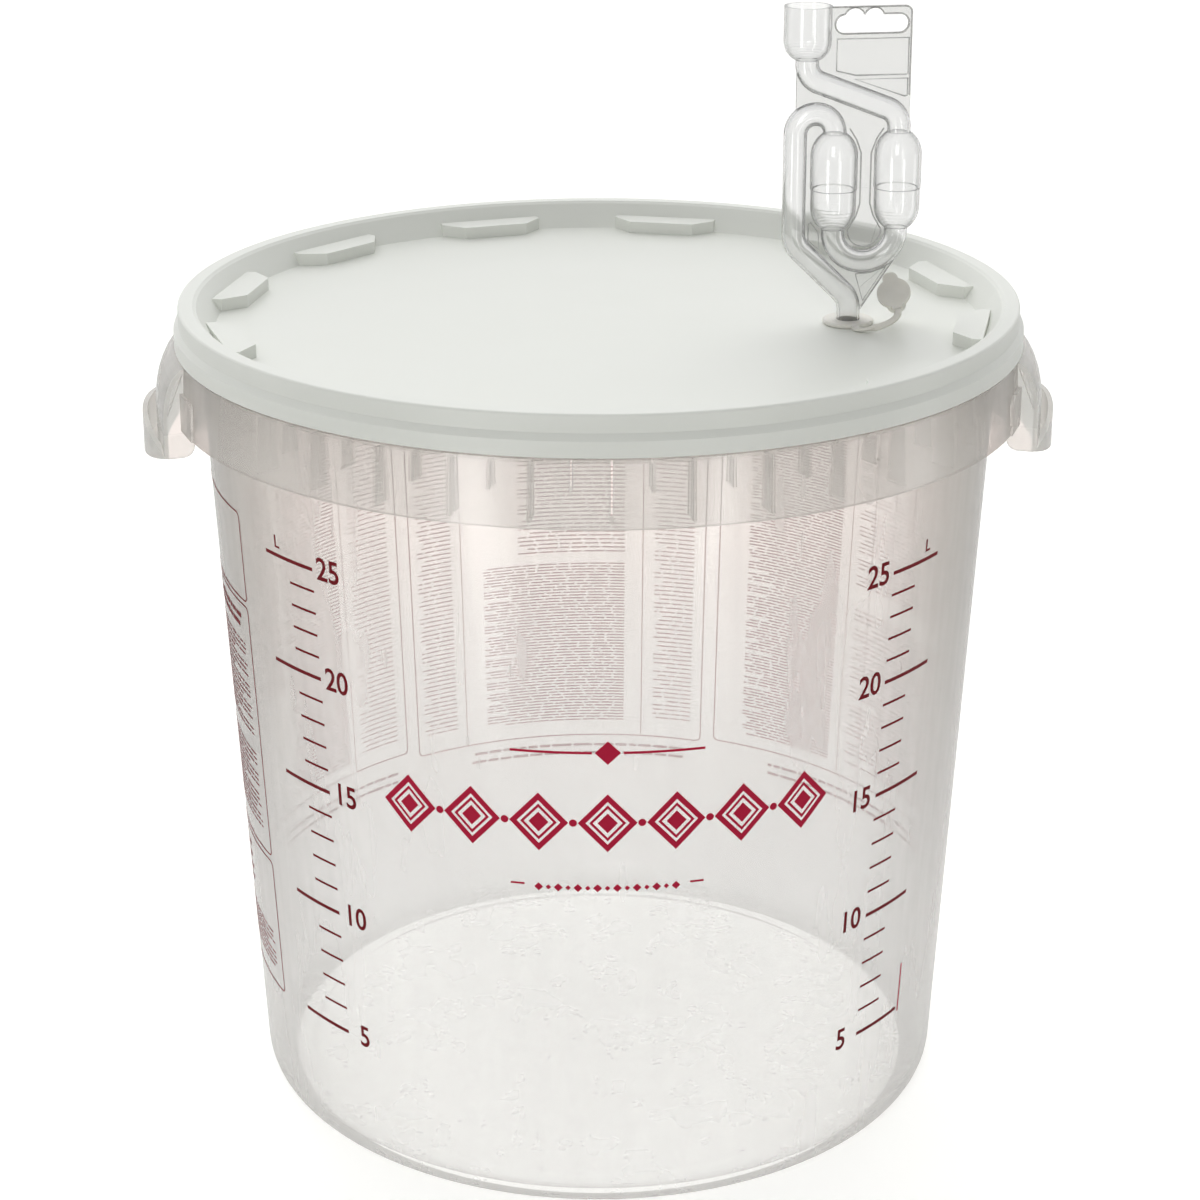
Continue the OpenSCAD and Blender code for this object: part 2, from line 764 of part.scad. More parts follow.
// Length that an elbow takes from each of its two runs
function elbow_l(corners, radii, i) =
    radii[i] == 0 ? 0
    : radii[i] / tan(acos(unit(corners[i - 1] - corners[i]) * unit(corners[i + 1] - corners[i])) / 2) - tube_lap;

// Straight tube in the XZ plane
module run(p, q, r) {
    d = q - p;
    translate([p[0], 0, p[1]])
        rotate([0, atan2(d[0], d[1]), 0])
            cylinder(h = norm(d), r = r, $fn = tube_fn);
}

// Tube through corner points [x, z], each corner with its own bend radius
module pipe(corners, radii, r) {
    last = len(corners) - 1;
    for (i = [1 : last - 1])
        elbow(corners[i], corners[i - 1], corners[i + 1], radii[i], r);
    for (i = [0 : last - 1]) {
        d = unit(corners[i + 1] - corners[i]);
        run(corners[i] + d * elbow_l(corners, radii, i), corners[i + 1] - d * elbow_l(corners, radii, i + 1), r);
    }
}

// Corner points of the three stretches of tube, above the panel and from the foot
function riser_corners() =
    let (mid = (riser_x + left_bubble_x) / 2)
    [[0, -tube_lap], [0, foot_bend_h], [-riser_x, foot_bend_h + riser_x], [-riser_x, loop_h],
     [-left_bubble_x, loop_h], [-left_bubble_x, bubble_h0 + bubble_h - tube_r / 2]];
function riser_radii() =
    let (loop_r = (riser_x - left_bubble_x) * 0.49)
    [0, bend_r, bend_r, loop_r, loop_r, 0];
function u_corners() =
    [[-left_bubble_x, bubble_h0 + tube_r / 2], [-left_bubble_x, u_h], [right_bubble_x, u_h],
     [right_bubble_x, bubble_h0 + tube_r / 2]];
function u_radii() =
    let (u_r = (left_bubble_x + right_bubble_x) * 0.49)
    [0, u_r, u_r, 0];
function s_corners() =
    [[right_bubble_x, bubble_h0 + bubble_h - tube_r / 2], [right_bubble_x, s_low_h], [-cup_x, s_high_h],
     [-cup_x, cup_h0 + tube_r / 2]];
function s_radii() = [0, s_bend_r, s_bend_r, 0];

module tubes(r) {
    pipe(riser_corners(), riser_radii(), r);
    pipe(u_corners(), u_radii(), r);
    pipe(s_corners(), s_radii(), r);
}

// A bubble's outline from neck to neck, drawn in by inset
function bubble_outline(inset) =
    let (
        neck = tube_r + neck_step - inset,
        r = bubble_r - inset,
        low_r = r - fill_step,
        a = neck_angle(neck, r),
        low_a = neck_angle(neck, low_r),
        shoulder = bubble_r * 1.12,
        low_z = shoulder * sin(low_a),
        high_z = bubble_h - shoulder * sin(a)
    )
    concat(
        [[0, 0]],
        oval(0, low_z, low_r, shoulder, -low_a, 0),
        [[low_r, fill_h - fill_step], [r, fill_h]],
        oval(0, high_z, r, shoulder, 0, a),
        [[0, bubble_h]]
    );

function cup_outline(inset, top) =
    let (
        neck = tube_r + neck_step - inset,
        r = cup_r - inset,
        a = neck_angle(neck, r),
        bowl = cup_bowl_h / sin(a)
    )
    concat(
        [[0, 0]],
        oval(0, cup_bowl_h, r, bowl, -a, 0),
        [[r, top], [0, top]]
    );

module vessels(inset, cup_top) {
    for (x = [-left_bubble_x, right_bubble_x])
        translate([x, 0, bubble_h0])
            rotate_extrude($fn = tube_fn) polygon(bubble_outline(inset));
    translate([-cup_x, 0, cup_h0])
        rotate_extrude($fn = tube_fn) polygon(cup_outline(inset, cup_top));
}

// Outline of the flat web, its hidden corners inside the tubes and the cup
module web_shape() {
    top = cup_h0 + cup_h - web_t / 2;
    r = web_corner_r;
    polygon(concat(
        [[-cup_x, top]],
        arc(web_right_x - r, top - r, r, 90, 0, 4),
        [[web_right_x, s_low_h - tube_r / 2], [right_bubble_x + tube_r / 2, s_low_h - tube_r * 3 / 2],
         [right_bubble_x, bubble_h0 + tube_r], [right_bubble_x, bubble_h0 - tube_r / 2],
         [right_bubble_x * 0.7, (bubble_h0 + u_h) * 0.45], [right_bubble_x * 0.97, u_h],
         [tube_r * 1.06, foot_bend_h * 0.56], [0, foot_bend_h / 2], [0, foot_bend_h],
         [-riser_x, foot_bend_h + riser_x], [-riser_x, cup_h0 - tube_r], [-cup_x, cup_h0]]
    ));
}

// Hanging slot with two hook notches over its left half
module slot_shape() {
    r = slot_h / 2;
    right = web_right_x - (web_right_x + cup_x - cup_r - slot_l) / 2;
    left = right - slot_l;
    mid_z = cup_h0 + cup_h - slot_h / 2 - notch_r * 1.05;
    for (x = [left + r, right - r])
        translate([x, mid_z])
            circle(r, $fn = edge_fn);
    translate([left + r, mid_z - r])
        square([slot_l - slot_h, slot_h]);
    for (x = [left + r + notch_r, left + r + 3 * notch_r])
        translate([x, mid_z + r - notch_r / 3])
            circle(notch_r, $fn = edge_fn);
}

// Shallow panels in the faces of the web
module web_panels() {
    top = cup_h0 + cup_h;
    margin = web_t;
    left = -cup_x + cup_r + 2 * margin;
    right = web_right_x - margin;
    high = top - slot_h - notch_r * 1.05 - 2 * margin;
    fall = (s_high_h - s_low_h) / (cup_x + right_bubble_x);
    low = high - (high - s_low_h) / 2;
    polygon([
        [left, high], [right, high], [right, low], [left + 2 * notch_r, low],
        [left, s_high_h - (left + cup_x) * fall + tube_r + 2 * margin]
    ]);
    polygon([
        [left + 2 * notch_r, low - margin], [right, low - margin],
        [right, s_low_h + tube_r + 2 * margin]
    ]);
    polygon([
        [tube_r, foot_bend_h + tube_r], [right_bubble_x * 0.78, u_h - tube_r / 2],
        [tube_r / 2, u_h - tube_r - 2 * margin]
    ]);
    polygon([
        [left_bubble_x * 0.1, bubble_h0 + fill_h], [right_bubble_x - bubble_r - left_bubble_x * 0.1, bubble_h0 + fill_h],
        [right_bubble_x * 0.6, bubble_h0 + tube_r / 2], [right_bubble_x * 0.45, u_h + tube_r + 2 * margin],
        [right_bubble_x * 0.12, u_h + tube_r + 2 * margin], [-left_bubble_x * 0.1, bubble_h0 + tube_r / 2]
    ]);
}

module web() {
    rotate([90, 0, 0])
        translate([0, 0, -web_t / 2])
            difference() {
                linear_extrude(web_t)
                    difference() {
                        web_shape();
                        slot_shape();
                    }
                for (z = [web_t - web_panel_d, web_panel_d - over])
                    translate([0, 0, z])
                        linear_extrude(over)
                            web_panels();
            }
}

module airlock_foot(r, low) {
    translate([0, 0, low])
        cylinder(h = foot_l / 2, r1 = r - foot_taper, r2 = r, $fn = tube_fn);
    translate([0, 0, low + foot_l / 2])
        cylinder(h = foot_l / 2, r = r, $fn = tube_fn);
}

module airlock() {
    color([0.9, 0.92, 0.93])
        translate([grommet_x, grommet_y, panel_z])
            rotate([0, 0, airlock_turn])
                difference() {
                    union() {
                        tubes(tube_r);
                        vessels(0, cup_h);
                        airlock_foot(tube_r, -foot_l);
                        web();
                    }
                    tubes(tube_r - tube_wall);
                    vessels(tube_wall, cup_h + over);
                    airlock_foot(tube_r - tube_wall, -foot_l);
                    translate([0, 0, -foot_l - over])
                        cylinder(h = 2 * over, r = tube_r - tube_wall - foot_taper, $fn = tube_fn);
                }
}

bucket();
left_grip();
right_grip();
lid();
lid_gasket();
grommet();
stopper_strap();
stopper();
airlock();
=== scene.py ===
import math
import random

import bmesh
import bpy
from mathutils import Matrix, Vector


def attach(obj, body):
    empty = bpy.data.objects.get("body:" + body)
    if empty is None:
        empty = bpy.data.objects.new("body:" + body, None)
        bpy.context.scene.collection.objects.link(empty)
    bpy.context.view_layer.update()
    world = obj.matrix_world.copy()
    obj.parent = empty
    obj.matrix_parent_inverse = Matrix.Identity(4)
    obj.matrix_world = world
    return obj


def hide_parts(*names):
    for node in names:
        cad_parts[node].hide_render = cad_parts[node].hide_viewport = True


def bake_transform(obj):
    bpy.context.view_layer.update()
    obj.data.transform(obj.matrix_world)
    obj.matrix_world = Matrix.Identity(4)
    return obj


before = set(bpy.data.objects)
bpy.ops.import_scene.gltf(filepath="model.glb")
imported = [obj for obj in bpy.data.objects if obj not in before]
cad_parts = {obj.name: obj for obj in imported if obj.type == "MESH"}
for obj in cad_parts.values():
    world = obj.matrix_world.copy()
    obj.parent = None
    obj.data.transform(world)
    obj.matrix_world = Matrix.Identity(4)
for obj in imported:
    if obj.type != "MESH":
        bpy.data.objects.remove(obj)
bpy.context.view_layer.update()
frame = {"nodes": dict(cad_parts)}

mm = 0.001
print("frame loaded:", ", ".join(sorted(frame["nodes"])))


def linearColour(hexCode):
    # sRGB hex to the linear numbers that a shader wants
    shares = [int(hexCode[i:i + 2], 16) / 255 for i in (1, 3, 5)]
    return [s / 12.92 if s <= 0.04045 else ((s + 0.055) / 1.055) ** 2.4 for s in shares] + [1.0]


def newMaterial(name):
    material = bpy.data.materials.new(name)
    material.use_nodes = True
    material.node_tree.nodes.clear()
    return material


def addNode(owner, kind, sockets=None, **settings):
    # one node with its settings; a socket takes a number, a colour, or another node's output
    tree = owner.node_tree
    node = tree.nodes.new(kind)
    for name, value in settings.items():
        setattr(node, name, value)
    for name, value in (sockets or {}).items():
        if isinstance(value, bpy.types.NodeSocket):
            tree.links.new(value, node.inputs[name])
        else:
            node.inputs[name].default_value = value
    return node


# The functions below add one node each, and give its output

def addMath(owner, operation, *values, clamp=False):
    sockets = dict(enumerate(values))
    return addNode(owner, "ShaderNodeMath", sockets, operation=operation, use_clamp=clamp).outputs[0]


def addRange(owner, value, start=0.0, stop=1.0, first=0.0, last=1.0):
    # takes values from start to stop over to first to last, and holds them there
    sockets = {0: value, 1: start, 2: stop, 3: first, 4: last}
    return addNode(owner, "ShaderNodeMapRange", sockets).outputs[0]


def addTint(owner, share, first, second):
    # between two colours, each a hex code or an output
    ends = [linearColour(end) if isinstance(end, str) else end for end in (first, second)]
    return addNode(owner, "ShaderNodeMix", {0: share, 6: ends[0], 7: ends[1]}, data_type="RGBA").outputs[2]


def addBlend(owner, share, first, second):
    # between two shaders
    return addNode(owner, "ShaderNodeMixShader", {0: share, 1: first, 2: second}).outputs[0]


def addDot(owner, place, direction):
    sockets = {0: place, 1: direction}
    return addNode(owner, "ShaderNodeVectorMath", sockets, operation="DOT_PRODUCT").outputs["Value"]


def addLength(owner, place):
    return addNode(owner, "ShaderNodeVectorMath", {0: place}, operation="LENGTH").outputs["Value"]


def addNoise(owner, place, width, detail=2.0, roughness=0.5):
    sockets = {"Vector": place, "Scale": 1 / width, "Detail": detail, "Roughness": roughness}
    return addNode(owner, "ShaderNodeTexNoise", sockets).outputs[0]


def addBump(owner, height, strength, depth):
    sockets = {"Strength": strength, "Distance": depth, "Height": height}
    return addNode(owner, "ShaderNodeBump", sockets).outputs[0]


def addGlow(owner, colour, strength=1.0):
    return addNode(owner, "ShaderNodeEmission", {"Color": colour, "Strength": strength}).outputs[0]


# Camera, as the photograph was taken
cameraSetting = {
    "place": (-0.0348, -1.2455, 0.7042),
    "tilt": 72.05,  # degrees from straight down
    "turn": -1.6,
    "lens": 84.86,  # mm on the sensor below
    "sensor": 36,
    "shift": (0.0011, -0.1256),
}


def placeCamera(setting):
    data = bpy.data.cameras.new("camera")
    data.lens = setting["lens"]
    data.sensor_width = setting["sensor"]
    data.shift_x, data.shift_y = setting["shift"]
    camera = bpy.data.objects.new("camera", data)
    camera.location = setting["place"]
    camera.rotation_euler = (math.radians(setting["tilt"]), 0, math.radians(setting["turn"]))
    bpy.context.scene.collection.objects.link(camera)
    bpy.context.scene.camera = camera


placeCamera(cameraSetting)
print("camera placed")


# Studio: pale floor, white surroundings and soft lamps; a range fades from its first number to its second
studio = {
    "floorRadius": 4.0,
    "floorDrop": 0.2 * mm,  # below the foot
    "floorColour": "#F4F4F2",
    "surround": "#FFFFFF",
    "throughWall": "#E6E5E3",  # painted shade: the grey that floor and world show through a hazy wall, close behind it
    "throughWallFar": "#FFEFE9",  # painted light: the same farther off, warm white as if the sweep were lit
    "farRange": (0.25, 0.8),
    "behindCamera": (0.0, -1.0, -0.1),
    "behindCameraColour": "#7C7C7A",  # painted reflection: the grey that glass and gloss find there, where the camera sees white
    "behindRange": (-0.1, 0.5),
    "dimFloorRange": (-0.18, -0.32),  # along Y
    "behindInGlass": 0.3,  # share of that dimness that glass takes, so that it stays light from behind
    "ambientLow": 0.25,  # from the front right, where a dark flag stands
    "ambientHigh": 3.2,  # from the lit sweep behind and to the left
    "ambientRange": (-0.7, 0.9),
    "brightSide": (-0.15, 0.90, -0.40),
    "sideFlags": 0.17,  # share of the ambient light left at both sides, past the dark flags
    "flagsRange": (0.1, 0.8),
    "footprint": 0.148,
    # glow that lifts the floor to white for the camera; under the bucket it is stronger, painted light
    # shining up through the bucket's floor
    "floorLift": 0.36,
    "underLift": 0.58,
    "lamps": [
        # name, place, width, height, share of the light where it points
        ("keyLamp", (-0.35, -2.2, 1.35), 0.8, 1.5, 0.22),
        ("topLamp", (-0.3, 0.6, 2.1), 0.7, 0.5, 0.02),
    ],
    # painted highlights: glowing strips on the floor that gloss alone finds; direction from -Y towards +X,
    # half width, brightness
    "strips": [(-34.5, 6.5, 4.4), (31.0, 3.0, 3.6), (88.0, 8.0, 1.4)],
    "stripEdge": (1.4, 0.6),  # a strip fades between these shares of its half width
    "stripsFrom": -0.105,  # where the strips' lines meet, along Y
    "stripsRange": (0.5, 1.0),  # they fade in between these distances from the middle
    "aim": (0, 0, 0.22),
}


def makeWorld(setting):
    # white to the camera, in gloss and in glass, save a painted reflection of grey behind the camera in gloss
    # and glass; grey behind a hazy wall, painted shade; plain light for the rest
    world = bpy.data.worlds.new("studio")
    bpy.context.scene.world = world
    world.use_nodes = True
    world.node_tree.nodes.clear()
    path = addNode(world, "ShaderNodeLightPath").outputs
    place = addNode(world, "ShaderNodeTexCoord").outputs["Generated"]
    seen = addMath(world, "MAXIMUM", path["Is Camera Ray"], path["Is Glossy Ray"])
    seen = addMath(world, "MAXIMUM", seen, path["Is Transmission Ray"])
    veiled = addMath(world, "GREATER_THAN", path["Transparent Depth"], 0.5)
    tint = addTint(world, veiled, setting["surround"], setting["throughWall"])
    towards = addDot(world, place, setting["brightSide"])
    strength = addRange(world, towards, *setting["ambientRange"], setting["ambientLow"],
                        setting["ambientHigh"])
    sideways = addNode(world, "ShaderNodeSeparateXYZ", {0: place}).outputs["X"]
    sideways = addMath(world, "MULTIPLY", sideways, sideways)
    flags = addRange(world, sideways, *setting["flagsRange"], 1.0, setting["sideFlags"])
    strength = addMath(world, "MULTIPLY", strength, flags)
    # painted reflection: grey behind the camera, for gloss fully and for glass in part, never for the camera
    dim = addRange(world, addDot(world, place, setting["behindCamera"]), *setting["behindRange"])
    dim = addMath(world, "SUBTRACT", dim, path["Is Camera Ray"], clamp=True)
    share = addRange(world, path["Is Transmission Ray"], 0.0, 1.0, 1.0, setting["behindInGlass"])
    dim = addMath(world, "MULTIPLY", dim, share)
    tint = addTint(world, dim, tint, setting["behindCameraColour"])
    plain = addNode(world, "ShaderNodeBackground", {"Color": linearColour(setting["surround"]),
                                                   "Strength": strength}).outputs[0]
    white = addNode(world, "ShaderNodeBackground", {"Color": tint, "Strength": 1.0}).outputs[0]
    addNode(world, "ShaderNodeOutputWorld", {"Surface": addBlend(world, seen, plain, white)})


def makeFloorMaterial(setting):
    # pale and shadowed; under the bucket it glows, painted light that shines up through the bucket's floor;
    # grey behind a hazy wall, painted shade
    material = newMaterial("paintedFloor")
    path = addNode(material, "ShaderNodeLightPath").outputs
    place = addNode(material, "ShaderNodeTexCoord").outputs["Object"]
    axes = addNode(material, "ShaderNodeSeparateXYZ", {0: place}).outputs
    reach = addLength(material, place)
    under = addMath(material, "LESS_THAN", reach, setting["footprint"])
    bare = addMath(material, "LESS_THAN", path["Transparent Depth"], 0.5)
    white = addMath(material, "MAXIMUM", under, bare)
    far = addRange(material, reach, *setting["farRange"])
    sweep = addTint(material, far, setting["throughWall"], setting["throughWallFar"])
    paint = addTint(material, white, sweep, setting["floorColour"])
    direct = addTint(material, path["Is Camera Ray"], setting["floorColour"], paint)
    lit = addNode(material, "ShaderNodeBsdfDiffuse", {"Color": direct}).outputs[0]
    glow = addRange(material, under, 0.0, 1.0, setting["floorLift"], setting["underLift"])
    glow = addMath(material, "MULTIPLY", glow, addMath(material, "MAXIMUM", white, far))
    seen = addMath(material, "MAXIMUM", path["Is Camera Ray"], path["Is Transmission Ray"])
    glow = addMath(material, "MULTIPLY", glow, seen)
    surface = addNode(material, "ShaderNodeAddShader", {0: lit, 1: addGlow(material, paint, glow)}).outputs[0]
    # painted reflection: in gloss and glass the floor before the bucket is dim; glowing strips there, painted
    # highlights, are found by gloss alone
    before = addRange(material, axes["Y"], *setting["dimFloorRange"])
    bent = addMath(material, "MULTIPLY_ADD", path["Is Transmission Ray"], setting["behindInGlass"],
                   path["Is Glossy Ray"], clamp=True)
    dim = addMath(material, "MULTIPLY", before, bent)
    dimReflection = addGlow(material, linearColour(setting["behindCameraColour"]))
    surface = addBlend(material, dim, surface, dimReflection)
    ahead = addMath(material, "SUBTRACT", setting["stripsFrom"], axes["Y"])
    bearing = addMath(material, "ARCTAN2", axes["X"], ahead)
    fade = addRange(material, reach, *setting["stripsRange"])
    fade = addMath(material, "MULTIPLY", fade, path["Is Glossy Ray"])
    fade = addMath(material, "MULTIPLY", fade, bare)
    for middle, half, brightness in setting["strips"]:
        off = addMath(material, "SUBTRACT", bearing, math.radians(middle))
        off = addMath(material, "ABSOLUTE", off)
        edge = [math.radians(half) * share for share in setting["stripEdge"]]
        band = addMath(material, "MULTIPLY", addRange(material, off, *edge, 0.0, brightness), fade)
        strip = addGlow(material, linearColour(setting["surround"]), band)
        surface = addNode(material, "ShaderNodeAddShader", {0: surface, 1: strip}).outputs[0]
    addNode(material, "ShaderNodeOutputMaterial", {"Surface": surface})
    return material


def makeFloor(setting):
    sheet = bmesh.new()
    bmesh.ops.create_circle(sheet, cap_ends=True, segments=96, radius=setting["floorRadius"])
    mesh = bpy.data.meshes.new("floor")
    sheet.to_mesh(mesh)
    sheet.free()
    mesh.materials.append(makeFloorMaterial(setting))
    floor = bpy.data.objects.new("floor", mesh)
    floor.location.z = -setting["floorDrop"]
    bpy.context.scene.collection.objects.link(floor)


def hangLamps(setting):
    aim = Vector(setting["aim"])
    for name, place, width, height, share in setting["lamps"]:
        data = bpy.data.lights.new(name, "AREA")
        data.shape = "RECTANGLE"
        data.size, data.size_y = width, height
        away = aim - Vector(place)
        data.energy = share * math.pi ** 2 * away.length_squared
        lamp = bpy.data.objects.new(name, data)
        lamp.location = place
        lamp.rotation_euler = away.to_track_quat("-Z", "Y").to_euler()
        bpy.context.scene.collection.objects.link(lamp)


makeWorld(studio)
makeFloor(studio)
hangLamps(studio)
bpy.context.scene.view_settings.view_transform = "Standard"
print("studio set")


# Natural polypropylene, injection moulded: milky, see-through when thin, with a soft gloss
naturalPolypropylene = {
    "milk": "#FCFBF9",
    "milkHigh": "#FDF8F2",  # painted light: warmer towards the rim, where the print glows through
    "milkRange": (0.15, 0.33),  # along Z
    "milkAlong": "#A5A29D",
    "passed": "#FFFFFF",
    "passedAlong": "#989089",
    "hazeAcross": 0.23,  # share of light that one face scatters, seen square on
    "hazeAlong": 0.8,  # the same, seen along the wall
    "backlit": 0.65,  # share of the scattered light that comes through from behind
    "steepness": 2.6,
    "alongLow": 0.3,  # share of that greying left near the foot; the greying up towards the rim is partly thicker plastic and partly painted shade under the collar and lid
    "alongRange": (0.05, 0.27),  # along Z
    "shade": 0.12,  # how much of its haze the wall keeps for lamps and bounced light
    "gloss": 0.045,
    "glossAlong": 0.75,
    "glossSteepness": 5.0,
    "glossRoughness": 0.18,
    # the faint cloudiness left by the melt as it filled the mould, and its upright streaks
    "cloud": 0.035,
    "flowWidth": 34 * mm,
    "flowStretch": (1, 1, 0.35),
    "streak": 0.022,
    "streakWidth": 11 * mm,
    "streakStretch": (1, 1, 0.04),
    "noiseRange": (0.3, 0.7),
    "collar": {"radius": 0.1886, "relief": 0.2},  # outside this radius the haze is this share less
    "fins": {"radius": 0.1856, "reach": 3.3 * mm, "low": 0.3275, "relief": 0.65},  # thin, so they grey less
    # floor of the pry tab's groove, which gathers painted shade
    "groove": {"radius": 0.19067, "top": 0.3578, "height": 20 * mm, "lean": 3.0, "reach": 0.12 * mm,
               "shade": 0.7},
}

# the same in the grips, where it is thicker and milkier
gripPolypropylene = dict(naturalPolypropylene, milkHigh="#FAFAF6", milkAlong="#BDBBB6", passedAlong="#B2AFA9",
                         hazeAcross=0.42)


def addClouds(material, place, look):
    clouds = []
    for depth, width, stretch, detail, roughness in (
            (look["cloud"], look["flowWidth"], look["flowStretch"], 3.0, 0.55),
            (look["streak"], look["streakWidth"], look["streakStretch"], 2.0, 0.5)):
        drawn = addNode(material, "ShaderNodeMapping", {0: place, "Scale": stretch}).outputs[0]
        noise = addNoise(material, drawn, width, detail, roughness)
        clouds.append(addRange(material, noise, *look["noiseRange"], -depth, depth))
    return addMath(material, "ADD", *clouds)


def addGroove(material, height, radius, groove):
    # 1 on the floor of the groove, where shade is painted, and 0 elsewhere
    lean = math.tan(math.radians(groove["lean"]))
    upright = addMath(material, "MULTIPLY_ADD", height, lean, radius)
    inside = addMath(material, "COMPARE", upright, groove["radius"] + groove["top"] * lean, groove["reach"])
    high = addMath(material, "GREATER_THAN", height, groove["top"] - groove["height"])
    return addMath(material, "MULTIPLY", inside, high)


def makeNaturalPolypropylene(name, look):
    material = newMaterial(name)
    place = addNode(material, "ShaderNodeTexCoord").outputs["Object"]
    axes = addNode(material, "ShaderNodeSeparateXYZ", {0: place}).outputs
    flat = addNode(material, "ShaderNodeCombineXYZ", {0: axes["X"], 1: axes["Y"]}).outputs[0]
    radius = addLength(material, flat)
    facing = addNode(material, "ShaderNodeLayerWeight", {"Blend": 0.5}).outputs["Facing"]
    # light that falls through spreads but isn't lost, so lamps and bounced light find the wall clearer
    path = addNode(material, "ShaderNodeLightPath").outputs
    bounced = addMath(material, "MAXIMUM", path["Is Shadow Ray"], path["Is Diffuse Ray"])
    weight = addRange(material, bounced, 0.0, 1.0, 1.0, look["shade"])
    # how far the wall is seen along its length: less on fins and near the foot; the painted shade under the
    # rim and in the groove greys it more
    fins = look["fins"]
    upper = addMath(material, "GREATER_THAN", axes["Z"], fins["low"])
    onFin = addMath(material, "COMPARE", radius, fins["radius"], fins["reach"])
    onFin = addMath(material, "MULTIPLY", onFin, upper)
    steep = addMath(material, "POWER", facing, look["steepness"])
    steep = addMath(material, "MULTIPLY", steep, addRange(material, onFin, 0.0, 1.0, 1.0, 1 - fins["relief"]))
    # greyer up towards the rim: partly thicker plastic, partly painted shade under the collar and lid
    rise = addRange(material, axes["Z"], *look["alongRange"], look["alongLow"], 1.0)
    steep = addMath(material, "MULTIPLY", steep, rise)
    grooveShade = addGroove(material, axes["Z"], radius, look["groove"])
    steep = addMath(material, "MULTIPLY_ADD", grooveShade, look["groove"]["shade"], steep, clamp=True)
    haze = addRange(material, steep, 0.0, 1.0, look["hazeAcross"], look["hazeAlong"])
    haze = addMath(material, "ADD", haze, addClouds(material, place, look), clamp=True)
    onCollar = addMath(material, "GREATER_THAN", radius, look["collar"]["radius"])
    onCollar = addMath(material, "MULTIPLY", onCollar, upper)
    clearer = addRange(material, onCollar, 0.0, 1.0, 1.0, 1 - look["collar"]["relief"])
    haze = addMath(material, "MULTIPLY", haze, clearer)
    haze = addMath(material, "MULTIPLY", haze, weight)
    # seen along the wall, light has a long way through the plastic and comes out greyer; this also carries
    # the painted shade under the rim and in the groove
    along = addMath(material, "MULTIPLY", steep, weight)
    # painted light: the milk turns warmer up towards the rim, for the print's glow
    printGlow = addRange(material, axes["Z"], *look["milkRange"])
    milk = addTint(material, printGlow, look["milk"], look["milkHigh"])
    milk = addTint(material, along, milk, look["milkAlong"])
    passed = addTint(material, along, look["passed"], look["passedAlong"])
    front = addNode(material, "ShaderNodeBsdfDiffuse", {"Color": milk}).outputs[0]
    behind = addNode(material, "ShaderNodeBsdfTranslucent", {"Color": milk}).outputs[0]
    body = addBlend(material, look["backlit"], front, behind)
    clear = addNode(material, "ShaderNodeBsdfTransparent", {"Color": passed}).outputs[0]
    wall = addBlend(material, haze, clear, body)
    glance = addMath(material, "POWER", facing, look["glossSteepness"])
    shine = addRange(material, glance, 0.0, 1.0, look["gloss"], look["glossAlong"])
    gloss = addNode(material, "ShaderNodeBsdfGlossy", {"Color": linearColour("#FFFFFF"),
                                                      "Roughness": look["glossRoughness"]}).outputs[0]
    addNode(material, "ShaderNodeOutputMaterial", {"Surface": addBlend(material, shine, wall, gloss)})
    return material


# White polypropylene of the lid: opaque, satin, with the mould's fine spark texture
whitePolypropylene = {
    "colour": "#E6E8E2",
    "roughness": 0.38,
    "roughnessSpread": (-0.05, 0.06),
    "unevenness": 60 * mm,
    "noiseRange": (0.3, 0.7),
    "grain": 0.9 * mm,  # drawn coarser than the real 0.1 mm, so that it shows
    "grainDepth": 0.02 * mm,
    "grainStrength": 0.25,
}

# a whiter, glossier copy for the ledge bead: a painted highlight along the edge
highlightPolypropylene = dict(whitePolypropylene, colour="#FBFCF9", roughness=0.3)


def makeWhitePolypropylene(name, look):
    material = newMaterial(name)
    place = addNode(material, "ShaderNodeTexCoord").outputs["Object"]
    grain = addNoise(material, place, look["grain"])
    bump = addBump(material, grain, look["grainStrength"], look["grainDepth"])
    ends = [look["roughness"] + spread for spread in look["roughnessSpread"]]
    satin = addRange(material, addNoise(material, place, look["unevenness"]), *look["noiseRange"], *ends)
    skin = addNode(material, "ShaderNodeBsdfPrincipled", {
        "Base Color": linearColour(look["colour"]), "Roughness": satin, "IOR": 1.49,
        "Subsurface Weight": 0.12, "Subsurface Radius": (1.0, 1.0, 0.95), "Subsurface Scale": 2 * mm,
        "Normal": bump})
    addNode(material, "ShaderNodeOutputMaterial", {"Surface": skin.outputs[0]})
    return material


# Thermoplastic elastomer: matt, warm grey, a little cloudy
thermoplasticElastomer = {
    "light": "#E8E6DF",
    "dark": "#DCDAD2",
    "roughness": 0.55,
    "cloud": 5 * mm,
    "grain": 0.35 * mm,
    "grainDepth": 0.02 * mm,
    "grainStrength": 0.2,
}


def makeElastomer(look):
    material = newMaterial("thermoplasticElastomer")
    place = addNode(material, "ShaderNodeTexCoord").outputs["Object"]
    tone = addTint(material, addNoise(material, place, look["cloud"], 3.0), look["light"], look["dark"])
    grain = addNoise(material, place, look["grain"])
    bump = addBump(material, grain, look["grainStrength"], look["grainDepth"])
    skin = addNode(material, "ShaderNodeBsdfPrincipled", {
        "Base Color": tone, "Roughness": look["roughness"], "IOR": 1.5, "Subsurface Weight": 0.25,
        "Subsurface Radius": (1.0, 0.95, 0.85), "Subsurface Scale": 2 * mm, "Normal": bump})
    addNode(material, "ShaderNodeOutputMaterial", {"Surface": skin.outputs[0]})
    return material


